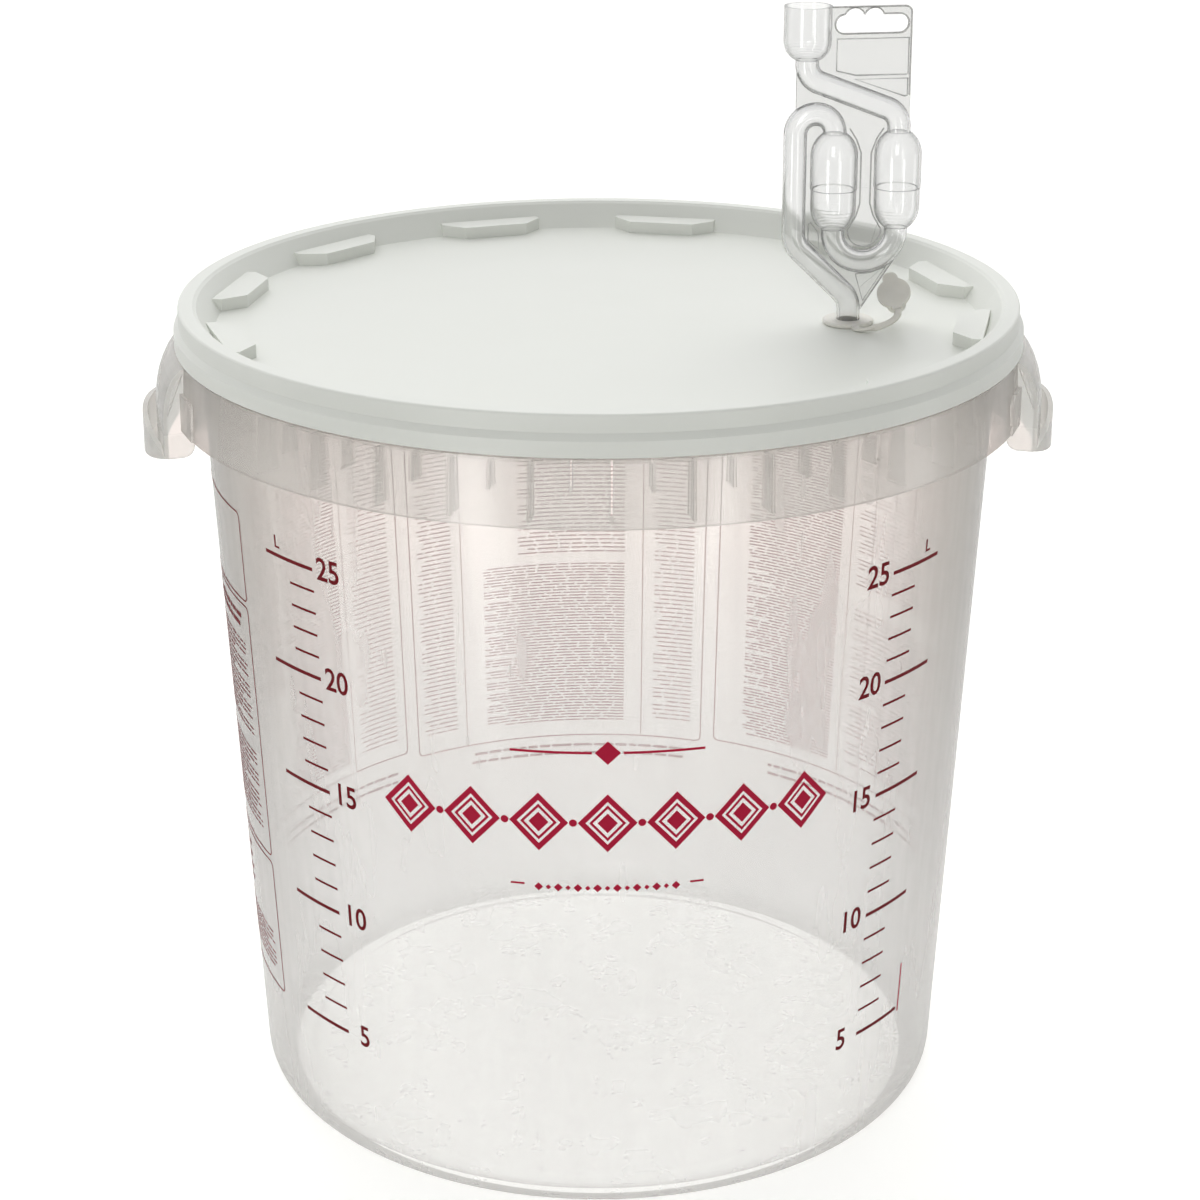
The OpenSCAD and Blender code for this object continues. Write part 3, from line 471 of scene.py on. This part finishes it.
# Clear vinyl, blow moulded: glassy, a little milky, greyer along its walls and where two are pressed in one
clearVinyl = {
    "tint": "#FBFBFB",
    "webTint": "#E6E6E5",
    "edgeTint": "#5C5C5A",
    "webPlane": {"through": (0.11233, -0.01399), "turn": 6.8, "half": 0.7 * mm},
    "steepness": 2.2,
    "milk": "#F6F6F5",
    "haze": 0.07,
    "roughness": 0.05,
    "ior": 1.53,
    "waves": 7 * mm,
    "waveDepth": 0.02 * mm,
    "waveStrength": 0.3,
}

# the same in the web's thin beads, which are seen almost all along
beadVinyl = dict(clearVinyl, tint="#E2E2E0", edgeTint="#5A5A58", steepness=1.5)


def makeClearVinyl(name, look):
    material = newMaterial(name)
    place = addNode(material, "ShaderNodeTexCoord").outputs["Object"]
    waves = addNoise(material, place, look["waves"], 1.0)
    bump = addBump(material, waves, look["waveStrength"], look["waveDepth"])
    plane = look["webPlane"]
    turn = math.radians(plane["turn"])
    across = Vector((-math.sin(turn), math.cos(turn), 0))
    middle = across.dot(Vector((*plane["through"], 0)))
    pressed = addMath(material, "COMPARE", addDot(material, place, across), middle, plane["half"])
    tint = addTint(material, pressed, look["tint"], look["webTint"])
    facing = addNode(material, "ShaderNodeLayerWeight", {"Blend": 0.5}).outputs["Facing"]
    steep = addMath(material, "POWER", facing, look["steepness"])
    tint = addTint(material, steep, tint, look["edgeTint"])
    glass = addNode(material, "ShaderNodeBsdfPrincipled", {
        "Base Color": tint, "Roughness": look["roughness"], "IOR": look["ior"],
        "Transmission Weight": 1.0, "Normal": bump}).outputs[0]
    front = addNode(material, "ShaderNodeBsdfDiffuse", {"Color": linearColour(look["milk"])}).outputs[0]
    behind = addNode(material, "ShaderNodeBsdfTranslucent", {"Color": linearColour(look["milk"])}).outputs[0]
    milk = addBlend(material, 0.5, front, behind)
    addNode(material, "ShaderNodeOutputMaterial", {"Surface": addBlend(material, look["haze"], glass, milk)})
    return material


# Screen ink: thin, crimson, with the soft sheen of a cured film
screenInk = {
    "frontRed": "#B8123A",
    "scaleRed": "#780012",
    "deepest": 0.86,  # share of the colour left where the film is thick
    "roughness": 0.6,
    "specular": 0.2,
    "screen": 0.5 * mm,
}


def makeScreenInk(name, colour, look):
    material = newMaterial(name)
    place = addNode(material, "ShaderNodeTexCoord").outputs["Object"]
    deep = [c * look["deepest"] for c in colour[:3]] + [1.0]
    tone = addTint(material, addNoise(material, place, look["screen"], 1.0), colour, deep)
    skin = addNode(material, "ShaderNodeBsdfPrincipled", {
        "Base Color": tone, "Specular IOR Level": look["specular"], "Roughness": look["roughness"],
        "IOR": 1.48})
    addNode(material, "ShaderNodeOutputMaterial", {"Surface": skin.outputs[0]})
    return material


materials = {
    "natural": makeNaturalPolypropylene("naturalPolypropylene", naturalPolypropylene),
    "grip": makeNaturalPolypropylene("thickNaturalPolypropylene", gripPolypropylene),
    "white": makeWhitePolypropylene("whitePolypropylene", whitePolypropylene),
    "paintedHighlight": makeWhitePolypropylene("whitePolypropylenePaintedHighlight", highlightPolypropylene),
    "elastomer": makeElastomer(thermoplasticElastomer),
    "vinyl": makeClearVinyl("clearVinyl", clearVinyl),
    "bead": makeClearVinyl("beadedClearVinyl", beadVinyl),
    "frontInk": makeScreenInk("crimsonScreenInk", linearColour(screenInk["frontRed"]), screenInk),
    "scaleInk": makeScreenInk("darkRedScreenInk", linearColour(screenInk["scaleRed"]), screenInk),
}

mouldedIn = {
    "bucket": "natural", "left_grip": "grip", "right_grip": "grip", "lid": "white",
    "lid_gasket": "elastomer", "grommet": "elastomer", "stopper": "elastomer", "airlock": "vinyl",
    "stopper_strap": "elastomer",
}
for node, kind in mouldedIn.items():
    data = frame["nodes"][node].data
    data.materials.clear()
    data.materials.append(materials[kind])
print("materials made:", ", ".join(m.name for m in materials.values()))


# Bucket wall, in mm: the print lies on it
wall = {"baseRadius": 161.2, "draft": 3.2}


def wallRadius(z):
    return wall["baseRadius"] + z * math.tan(math.radians(wall["draft"]))


def arcLength(degrees, z):
    return math.radians(degrees) * wallRadius(z)


ink = {"lift": 0.06, "film": 0.06, "facet": 3.0}


def addBar(drawing, x, y, width, height):
    place = Matrix.Translation((x, y, 0)) @ Matrix.Diagonal((width, height, 1, 1))
    return bmesh.ops.create_grid(drawing, x_segments=1, y_segments=1, size=0.5, matrix=place)["verts"]


def keepRim(drawing, face, line):
    # leaves only a line of even width along a face's edge
    bmesh.ops.inset_region(drawing, faces=[face], thickness=line, use_even_offset=True, use_boundary=True)
    bmesh.ops.delete(drawing, geom=[face], context="FACES")


def addFrame(drawing, left, right, low, high, corner, line):
    # a thin line round a rectangle with round corners
    verts = addBar(drawing, (left + right) / 2, (low + high) / 2, right - left, high - low)
    rounded = bmesh.ops.bevel(drawing, geom=verts, offset=corner, segments=5, profile=0.5, affect="VERTICES",
                              material=-1)
    keepRim(drawing, rounded["verts"][0].link_faces[0], line)


def addShape(drawing, x, y, radius, corners, line=0.0, stretch=1.0):
    # a filled or outlined polygon
    place = Matrix.Translation((x, y, 0)) @ Matrix.Diagonal((stretch, 1, 1, 1))
    made = bmesh.ops.create_circle(drawing, cap_ends=True, segments=corners, radius=radius, matrix=place)
    if line:
        keepRim(drawing, made["verts"][0].link_faces[0], line)


def addWriting(drawing, text, x, y, size, narrow=1.0, bold=0.014):
    curve = bpy.data.curves.new("writing", "FONT")
    curve.body = text
    curve.size = size
    curve.align_x, curve.align_y = "CENTER", "CENTER"
    curve.resolution_u = 4
    curve.offset = bold * size
    holder = bpy.data.objects.new("writing", curve)
    bpy.context.scene.collection.objects.link(holder)
    bpy.context.view_layer.update()
    mesh = bpy.data.meshes.new_from_object(holder.evaluated_get(bpy.context.evaluated_depsgraph_get()))
    mesh.transform(Matrix.Translation((x, y, 0)) @ Matrix.Diagonal((narrow, 1, 1, 1)))
    drawing.from_mesh(mesh)
    bpy.data.objects.remove(holder)
    bpy.data.meshes.remove(mesh)


# Rows of dashes, in mm; every fourth row is shorter by up to a share of its length
dashes = {"shortest": 3.5, "longest": 12, "gap": 1.3, "least": 1.5, "shortRow": 4, "shorter": 0.3}


def addDashes(drawing, chance, left, right, low, high, pitch, line):
    # they read as fine print from a step away and say nothing
    rows = int((high - low) / pitch)
    for i in range(rows):
        y = high - (i + 0.5) * pitch
        x = left
        short = i % dashes["shortRow"] == dashes["shortRow"] - 1
        stop = right - chance.uniform(0, dashes["shorter"]) * (right - left) * short
        while x < stop - dashes["least"]:
            length = min(chance.uniform(dashes["shortest"], dashes["longest"]), stop - x)
            addBar(drawing, x + length / 2, y, length, line)
            x += length + dashes["gap"]


def printOnWall(name, drawing, azimuth, height, inkName):
    # lays a flat drawing, in mm, on the wall as a thin film of ink, its origin at azimuth and height
    bmesh.ops.remove_doubles(drawing, verts=drawing.verts, dist=0.001)
    low = min(v.co.x for v in drawing.verts)
    high = max(v.co.x for v in drawing.verts)
    cut = math.ceil(low / ink["facet"]) * ink["facet"]
    while cut < high:
        bmesh.ops.bisect_plane(drawing, geom=drawing.verts[:] + drawing.edges[:] + drawing.faces[:],
                               plane_co=(cut, 0, 0), plane_no=(1, 0, 0), dist=0.0005)
        cut += ink["facet"]
    middle = wallRadius(height)
    for vert in drawing.verts:
        z = height + vert.co.y
        angle = math.radians(azimuth) + vert.co.x / middle
        radius = wallRadius(z) + ink["lift"]
        vert.co = Vector((radius * math.sin(angle), -radius * math.cos(angle), z)) * mm
    bmesh.ops.recalc_face_normals(drawing, faces=drawing.faces[:])
    for face in drawing.faces:
        centre = face.calc_center_median()
        if face.normal.dot(Vector((centre.x, centre.y, 0))) < 0:
            face.normal_flip()
    bmesh.ops.solidify(drawing, geom=drawing.faces[:], thickness=-ink["film"] * mm)
    mesh = bpy.data.meshes.new(name)
    drawing.to_mesh(mesh)
    drawing.free()
    mesh.materials.append(materials[inkName])
    piece = bpy.data.objects.new(name, mesh)
    bpy.context.scene.collection.objects.link(piece)
    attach(piece, "bucket")
    return piece


# Litre scales left and right of the front
litreScale = {
    "heights": {25: 288.0, 20: 237.3, 15: 183.3, 10: 124.2, 5: 64.0},
    "middle": 170.0,
    "longMark": 32.0, "longLine": 1.7,
    "shortMark": 15.5, "shortLine": 1.1,
    "numberSize": 14.6, "numberGap": 9.9, "numberRise": 0.8, "numberWidth": 0.92,
    "letterSize": 8.0, "letterRise": 6.0, "letterShare": 0.45,
    "left": {"azimuth": -49.7, "rise": 1.6, "side": 1},
    "right": {"azimuth": 48.4, "rise": -1.6, "side": -1},
}


def printScale(name, spec, scale):
    drawing = bmesh.new()
    inner = spec["side"] * scale["longMark"] / 2
    base = scale["middle"]
    for litres, height in scale["heights"].items():
        spread = wallRadius(height) / wallRadius(base)
        addBar(drawing, 0, height - base, scale["longMark"], scale["longLine"])
        addWriting(drawing, str(litres), (inner + spec["side"] * scale["numberGap"]) / spread,
                   height - base + scale["numberRise"], scale["numberSize"], scale["numberWidth"])
        if litres > 5:
            below = scale["heights"][litres - 5]
            for i in range(1, 5):
                y = height + (below - height) * i / 5 - base
                addBar(drawing, inner - spec["side"] * scale["shortMark"] / 2, y, scale["shortMark"],
                       scale["shortLine"])
    addWriting(drawing, "L", -inner * scale["letterShare"], scale["heights"][25] - base + scale["letterRise"],
               scale["letterSize"])
    printOnWall(name, drawing, spec["azimuth"], base + spec["rise"], "scaleInk")


printScale("leftLitreScale", litreScale["left"], litreScale)
printScale("rightLitreScale", litreScale["right"], litreScale)
print("litre scales printed")


# Plain band of rules and lozenges across the front
frontBand = {
    "azimuth": -0.35,
    "ruleHeight": 225.0, "ruleFrom": 6.5, "ruleTo": 40.5, "ruleLine": 1.1, "ruleLozenge": 5.4,
    "rowHeight": 192.3, "rowStep": 29.0, "rowRadius": 13.6, "rowWidth": 0.92, "rowDot": 1.7,
    "rowRings": [(1.0, 2.4), (0.62, 1.1), (0.34, 0.0)],  # share of the radius, line; the last is filled
    "footHeight": 161.5, "footStep": 4.2, "footLozenges": (1.2, 1.9),
    "footDash": {"at": 38.5, "rise": 1.0, "length": 6.0, "line": 0.9},
}


def printFrontBand(spec):
    drawing = bmesh.new()
    base = spec["rowHeight"]
    rule = spec["ruleHeight"] - base
    length = spec["ruleTo"] - spec["ruleFrom"]
    for side in (-1, 1):
        addBar(drawing, side * (spec["ruleFrom"] + length / 2), rule, length, spec["ruleLine"])
    addShape(drawing, 0, rule, spec["ruleLozenge"], 4)
    for i in range(-3, 4):
        x = i * spec["rowStep"]
        for share, line in spec["rowRings"]:
            addShape(drawing, x, 0, spec["rowRadius"] * share, 4, line, spec["rowWidth"])
        if i < 3:
            addShape(drawing, x + spec["rowStep"] / 2, 0, spec["rowDot"], 20)
    foot = spec["footHeight"] - base
    dash = spec["footDash"]
    for side in (-1, 1):
        addBar(drawing, side * dash["at"], foot + dash["rise"], dash["length"], dash["line"])
    for i in range(-7, 8):
        addShape(drawing, i * spec["footStep"], foot, spec["footLozenges"][i % 2], 4)
    printOnWall("frontBand", drawing, spec["azimuth"], base, "frontInk")


printFrontBand(frontBand)
print("front band printed")


# Ruled columns printed round the sides and the back, in dashes without words
# Each runs between two azimuths; a block has its left and right share, low, high, pitch and line
ruledColumns = {
    "line": 0.7,
    "corner": 3.0,
    "columns": [
        {"name": "sideColumn", "from": -98.0, "to": -63.3, "ink": "scaleInk",
         "frames": [(256, 299), (131.5, 254), (61, 129)],
         "blocks": [(0.08, 0.90, 238, 249, 4.6, 2.2), (0.08, 0.92, 186, 235, 2.6, 0.7),
                    (0.08, 0.92, 140, 181, 2.6, 0.7), (0.08, 0.60, 96, 122, 6.0, 1.6),
                    (0.08, 0.92, 67, 90, 2.6, 0.7)],
         "rules": []},
        {"name": "leftColumn", "from": -144.2, "to": -101.0, "ink": "frontInk",
         "frames": [(88, 292)],
         "blocks": [(0.05, 0.24, 94, 286, 2.6, 0.6), (0.31, 0.66, 94, 286, 1.9, 0.7),
                    (0.70, 0.95, 150, 286, 2.2, 0.6)],
         "rules": [0.28]},
        {"name": "backColumn", "from": -200.9, "to": -146.5, "ink": "frontInk",
         "frames": [(84, 292)],
         "blocks": [(0.04, 0.17, 92, 286, 2.4, 0.6), (0.27, 0.74, 92, 182, 1.6, 0.65),
                    (0.27, 0.62, 186, 286, 2.2, 0.7), (0.85, 0.97, 92, 286, 2.4, 0.6)],
         "rules": [0.21, 0.815]},
        {"name": "rightColumn", "from": 100.0, "to": 156.7, "ink": "frontInk",
         "frames": [(86, 292)],
         "blocks": [(0.57, 0.90, 92, 286, 1.6, 0.65), (0.04, 0.50, 92, 180, 2.6, 0.7),
                    (0.04, 0.50, 190, 286, 2.2, 0.6)],
         "rules": [0.53, 0.44, 0.35, 0.26]},
    ],
    "footNotes": {"low": 71, "high": 81, "from": 0.06, "to": 0.8, "pitch": 4.6, "line": 1.4},
    "ruleShare": 0.7,  # a rule's line, as a share of a frame's
}


def printColumn(spec, style, chance):
    drawing = bmesh.new()
    low = min(frame[0] for frame in spec["frames"])
    high = max(frame[1] for frame in spec["frames"])
    middle = (low + high) / 2
    width = arcLength(spec["to"] - spec["from"], middle)
    for foot, top in spec["frames"]:
        addFrame(drawing, 0, width, foot - middle, top - middle, style["corner"], style["line"])
    for left, right, foot, top, pitch, line in spec["blocks"]:
        addDashes(drawing, chance, left * width, right * width, foot - middle, top - middle, pitch, line)
    for share in spec["rules"]:
        addBar(drawing, share * width, 0, style["line"] * style["ruleShare"], high - low - 2)
    if spec["ink"] == "frontInk":
        notes = style["footNotes"]
        addDashes(drawing, chance, notes["from"] * width, notes["to"] * width, notes["low"] - middle,
                  notes["high"] - middle, notes["pitch"], notes["line"])
    printOnWall(spec["name"], drawing, spec["from"], middle, spec["ink"])


chance = random.Random(7)
for column in ruledColumns["columns"]:
    printColumn(column, ruledColumns, chance)


# Short upright mark low on the right
sideMark = {"azimuth": 54.5, "low": 60.0, "high": 84.6, "line": 1.0}
markDrawing = bmesh.new()
addBar(markDrawing, 0, 0, sideMark["line"], sideMark["high"] - sideMark["low"])
printOnWall("sideMark", markDrawing, sideMark["azimuth"], (sideMark["low"] + sideMark["high"]) / 2,
            "frontInk")
print("sides and back printed")


# Rounded edge of the lid's ledge below the stacking ring, in mm: it catches the light from above, and its
# whiter plastic is a painted highlight
ledgeBead = {"radius": 190.6, "height": 365.9, "thickness": 0.85, "steps": 180, "sides": 10}


def makeLedgeBead(spec):
    bead = bmesh.new()
    upright = Matrix.Rotation(math.pi / 2, 4, "X")
    place = Matrix.Translation((spec["radius"], 0, spec["height"])) @ upright
    bmesh.ops.create_circle(bead, segments=spec["sides"], radius=spec["thickness"], matrix=place)
    bmesh.ops.spin(bead, geom=bead.verts[:] + bead.edges[:], cent=(0, 0, 0), axis=(0, 0, 1),
                   dvec=(0, 0, 0), angle=2 * math.pi, steps=spec["steps"], use_merge=True,
                   use_duplicate=False)
    bmesh.ops.remove_doubles(bead, verts=bead.verts[:], dist=0.001)
    bmesh.ops.recalc_face_normals(bead, faces=bead.faces[:])
    bmesh.ops.scale(bead, vec=(mm, mm, mm), verts=bead.verts[:])
    mesh = bpy.data.meshes.new("ledgeBead")
    bead.to_mesh(mesh)
    bead.free()
    mesh.shade_smooth()
    mesh.materials.append(materials["paintedHighlight"])
    piece = bpy.data.objects.new("ledgeBead", mesh)
    bpy.context.scene.collection.objects.link(piece)
    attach(piece, "lid")


makeLedgeBead(ledgeBead)
print("ledge bead made")


# Strap of the stopper, in mm: one cubic curve from the grommet's lug to the stopper's rim
strap = {
    "pitch": 113.204, "azimuth": 82.9,  # of the grommet's middle, from -Y towards +X
    "panel": 364.3,  # height of the lid's panel
    "grommetRadius": 11.5, "lug": 2.4, "slip": 0.1,
    "leave": -81.0,  # direction in which the strap leaves the grommet, from +X
    "stopperPlace": (20.2, -2.6, 13.8),  # from the grommet's middle on the panel
    "lean": 44.0, "turn": -19.0, "roll": 22.0,
    "capRadius": 7.6, "capThickness": 1.9,
    "width": 3.0, "thickness": 1.7, "fuller": 0.16,
    "steps": 28, "sides": 16,
}


def strapCurve(spec):
    # the curve's four points and the direction of the band's width at both ends
    bearing = math.radians(spec["azimuth"])
    grommet = Vector((spec["pitch"] * math.sin(bearing), -spec["pitch"] * math.cos(bearing), spec["panel"]))
    leave = math.radians(spec["leave"])
    out = Vector((math.cos(leave), math.sin(leave), 0))
    turn, lean, roll = (Matrix.Rotation(math.radians(spec[name]), 3, axis)
                        for name, axis in (("turn", "Z"), ("lean", "X"), ("roll", "Z")))
    pose = turn @ lean @ roll
    reach = spec["grommetRadius"] + spec["lug"] + spec["slip"]
    start = grommet + out * reach + Vector((0, 0, spec["slip"] + spec["thickness"] / 2))
    rim = pose @ Vector((0, -spec["capRadius"] - spec["lug"] / 2, spec["capThickness"] / 2))
    end = grommet + Vector(spec["stopperPlace"]) + rim
    handleOut = start + out * (spec["lug"] + spec["width"])
    handleIn = end + pose @ Vector((0, -1, 0)) * (spec["capRadius"] + spec["width"] / 2)
    sides = (Vector((-math.sin(leave), math.cos(leave), 0)), pose @ Vector((1, 0, 0)))
    return (start, handleOut, handleIn, end), sides


def strapFrame(points, sides, t):
    # place and axes of the band's section at a share of its length
    a, b, c, d = points
    s = 1 - t
    place = a * s ** 3 + b * 3 * s * s * t + c * 3 * s * t * t + d * t ** 3
    along = ((b - a) * s * s + (c - b) * 2 * s * t + (d - c) * t * t).normalized()
    across = sides[0] * s + sides[1] * t
    across = (across - along * across.dot(along)).normalized()
    up = across.cross(along)
    axes = Matrix((across, up, along)).transposed().to_4x4()
    return Matrix.Translation(place) @ axes


def makeStrap(spec):
    points, sides = strapCurve(spec)
    band = bmesh.new()
    section = Matrix.Diagonal((spec["width"] / 2, spec["thickness"] / 2, 1, 1))
    before = strapFrame(points, sides, 0)
    ring = bmesh.ops.create_circle(band, segments=spec["sides"], radius=1, matrix=section)["verts"]
    for vert in ring:
        # fuller than an ellipse, as a moulded band with rounded edges is
        around = math.atan2(vert.co.y * spec["width"], vert.co.x * spec["thickness"])
        fuller = 1 + spec["fuller"] * abs(math.sin(2 * around))
        vert.co = before @ (vert.co * fuller)
    edges = band.edges[:]
    for i in range(1, spec["steps"] + 1):
        after = strapFrame(points, sides, i / spec["steps"])
        grown = bmesh.ops.extrude_edge_only(band, edges=edges)["geom"]
        move = after @ before.inverted()
        for vert in (g for g in grown if isinstance(g, bmesh.types.BMVert)):
            vert.co = move @ vert.co
        edges = [g for g in grown if isinstance(g, bmesh.types.BMEdge) and g.is_boundary]
        before = after
    bmesh.ops.holes_fill(band, edges=[e for e in band.edges if e.is_boundary], sides=0)
    bmesh.ops.scale(band, vec=(mm, mm, mm), verts=band.verts[:])
    bmesh.ops.recalc_face_normals(band, faces=band.faces[:])
    mesh = bpy.data.meshes.new("stopperBand")
    band.to_mesh(mesh)
    band.free()
    mesh.shade_smooth()
    mesh.materials.append(materials["elastomer"])
    piece = bpy.data.objects.new("stopperBand", mesh)
    bpy.context.scene.collection.objects.link(piece)
    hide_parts("stopper_strap")
    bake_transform(piece)


makeStrap(strap)
print("strap made")


# Beads on the airlock's web, in mm across and up from its foot: thin round ridges that edge its panels
webBeads = {
    "foot": (112.33, -13.99, 364.3),
    "turn": 6.8,
    "off": 0.5,  # from the web's middle to a bead's
    "radius": 0.28,
    "slot": {"left": -5.05, "right": 19.55, "height": 135.5, "end": 4.35, "notch": 4.85,
             "notches": (-0.65, 8.15), "notchHeight": 137.93},
    "border": {"left": -11.0, "right": 24.9, "top": 142.9, "corner": 2.6, "foot": 103.5},
    "panels": [
        [(-8.3, 129.0), (24.0, 129.0), (24.0, 112.8), (0.4, 112.8), (-8.3, 115.0)],
        [(0.2, 111.0), (24.0, 111.0), (24.0, 103.4), (22.8, 103.0)],
        [(2.8, 22.6), (9.5, 23.2), (16.6, 25.6), (6.4, 10.2)],
        [(-19.4, 46.2), (-18.4, 47.0), (-14.8, 42.4), (-14.4, 34.6), (-19.4, 38.8)],
    ],
    "middle": {"between": 6.2, "neck": 42.9, "bend": 7.7,
               "course": [(-7.7, 89.0), (-4.5, 84.0), (-2.3, 78.0), (-2.3, 55.0), (-3.9, 49.5)]},
    "edge": [(5.8, 7.5), (19.8, 28.3)],
}


def arcPoints(x, y, radius, start, stop, steps=10):
    angles = [math.radians(start + (stop - start) * i / steps) for i in range(steps + 1)]
    return [(x + radius * math.cos(a), y + radius * math.sin(a)) for a in angles]


def beadPaths(spec):
    # every bead's course, and whether it closes on itself
    slot = spec["slot"]
    step = math.degrees(math.asin((slot["height"] + slot["end"] - slot["notchHeight"]) / slot["notch"]))
    cusp = math.degrees(math.acos((slot["notches"][1] - slot["notches"][0]) / 2 / slot["notch"]))
    around = arcPoints(slot["left"], slot["height"], slot["end"], 270, 100)
    around += arcPoints(slot["notches"][0], slot["notchHeight"], slot["notch"], 180 - step, cusp)
    around += arcPoints(slot["notches"][1], slot["notchHeight"], slot["notch"], 180 - cusp, step)
    around += arcPoints(slot["right"], slot["height"], slot["end"], 90, -90)
    border = spec["border"]
    corner = border["corner"]
    side = [(border["left"], border["top"])]
    side += arcPoints(border["right"] - corner, border["top"] - corner, corner, 90, 0, 5)
    side += [(border["right"], border["foot"])]
    middle = spec["middle"]
    centre = middle["between"]
    left = [(centre + x, y) for x, y in middle["course"]]
    left += arcPoints(centre, middle["neck"], middle["bend"], 180, 270, 8)
    right = [(2 * centre - x, y) for x, y in reversed(left)]
    paths = [(around, True), (side, False), (left + right[1:], False), (spec["edge"], False)]
    return paths + [(panel, True) for panel in spec["panels"]]


def makeWebBeads(spec):
    curve = bpy.data.curves.new("webBeads", "CURVE")
    curve.dimensions = "3D"
    curve.bevel_depth = spec["radius"]
    curve.bevel_resolution = 2
    curve.use_fill_caps = True
    for points, closed in beadPaths(spec):
        for off in (-spec["off"], spec["off"]):
            course = curve.splines.new("POLY")
            course.points.add(len(points) - 1)
            for point, (x, y) in zip(course.points, points):
                point.co = (x, off, y, 1)
            course.use_cyclic_u = closed
    holder = bpy.data.objects.new("webBeads", curve)
    bpy.context.scene.collection.objects.link(holder)
    bpy.context.view_layer.update()
    mesh = bpy.data.meshes.new_from_object(holder.evaluated_get(bpy.context.evaluated_depsgraph_get()))
    bpy.data.objects.remove(holder)
    mesh.name = "webBeads"
    place = Matrix.Translation(spec["foot"]) @ Matrix.Rotation(math.radians(spec["turn"]), 4, "Z")
    mesh.transform(Matrix.Scale(mm, 4) @ place)
    mesh.shade_smooth()
    mesh.materials.clear()
    mesh.materials.append(materials["bead"])
    piece = bpy.data.objects.new("webBeads", mesh)
    bpy.context.scene.collection.objects.link(piece)
    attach(piece, "airlock")


makeWebBeads(webBeads)
print("beads of the web made")
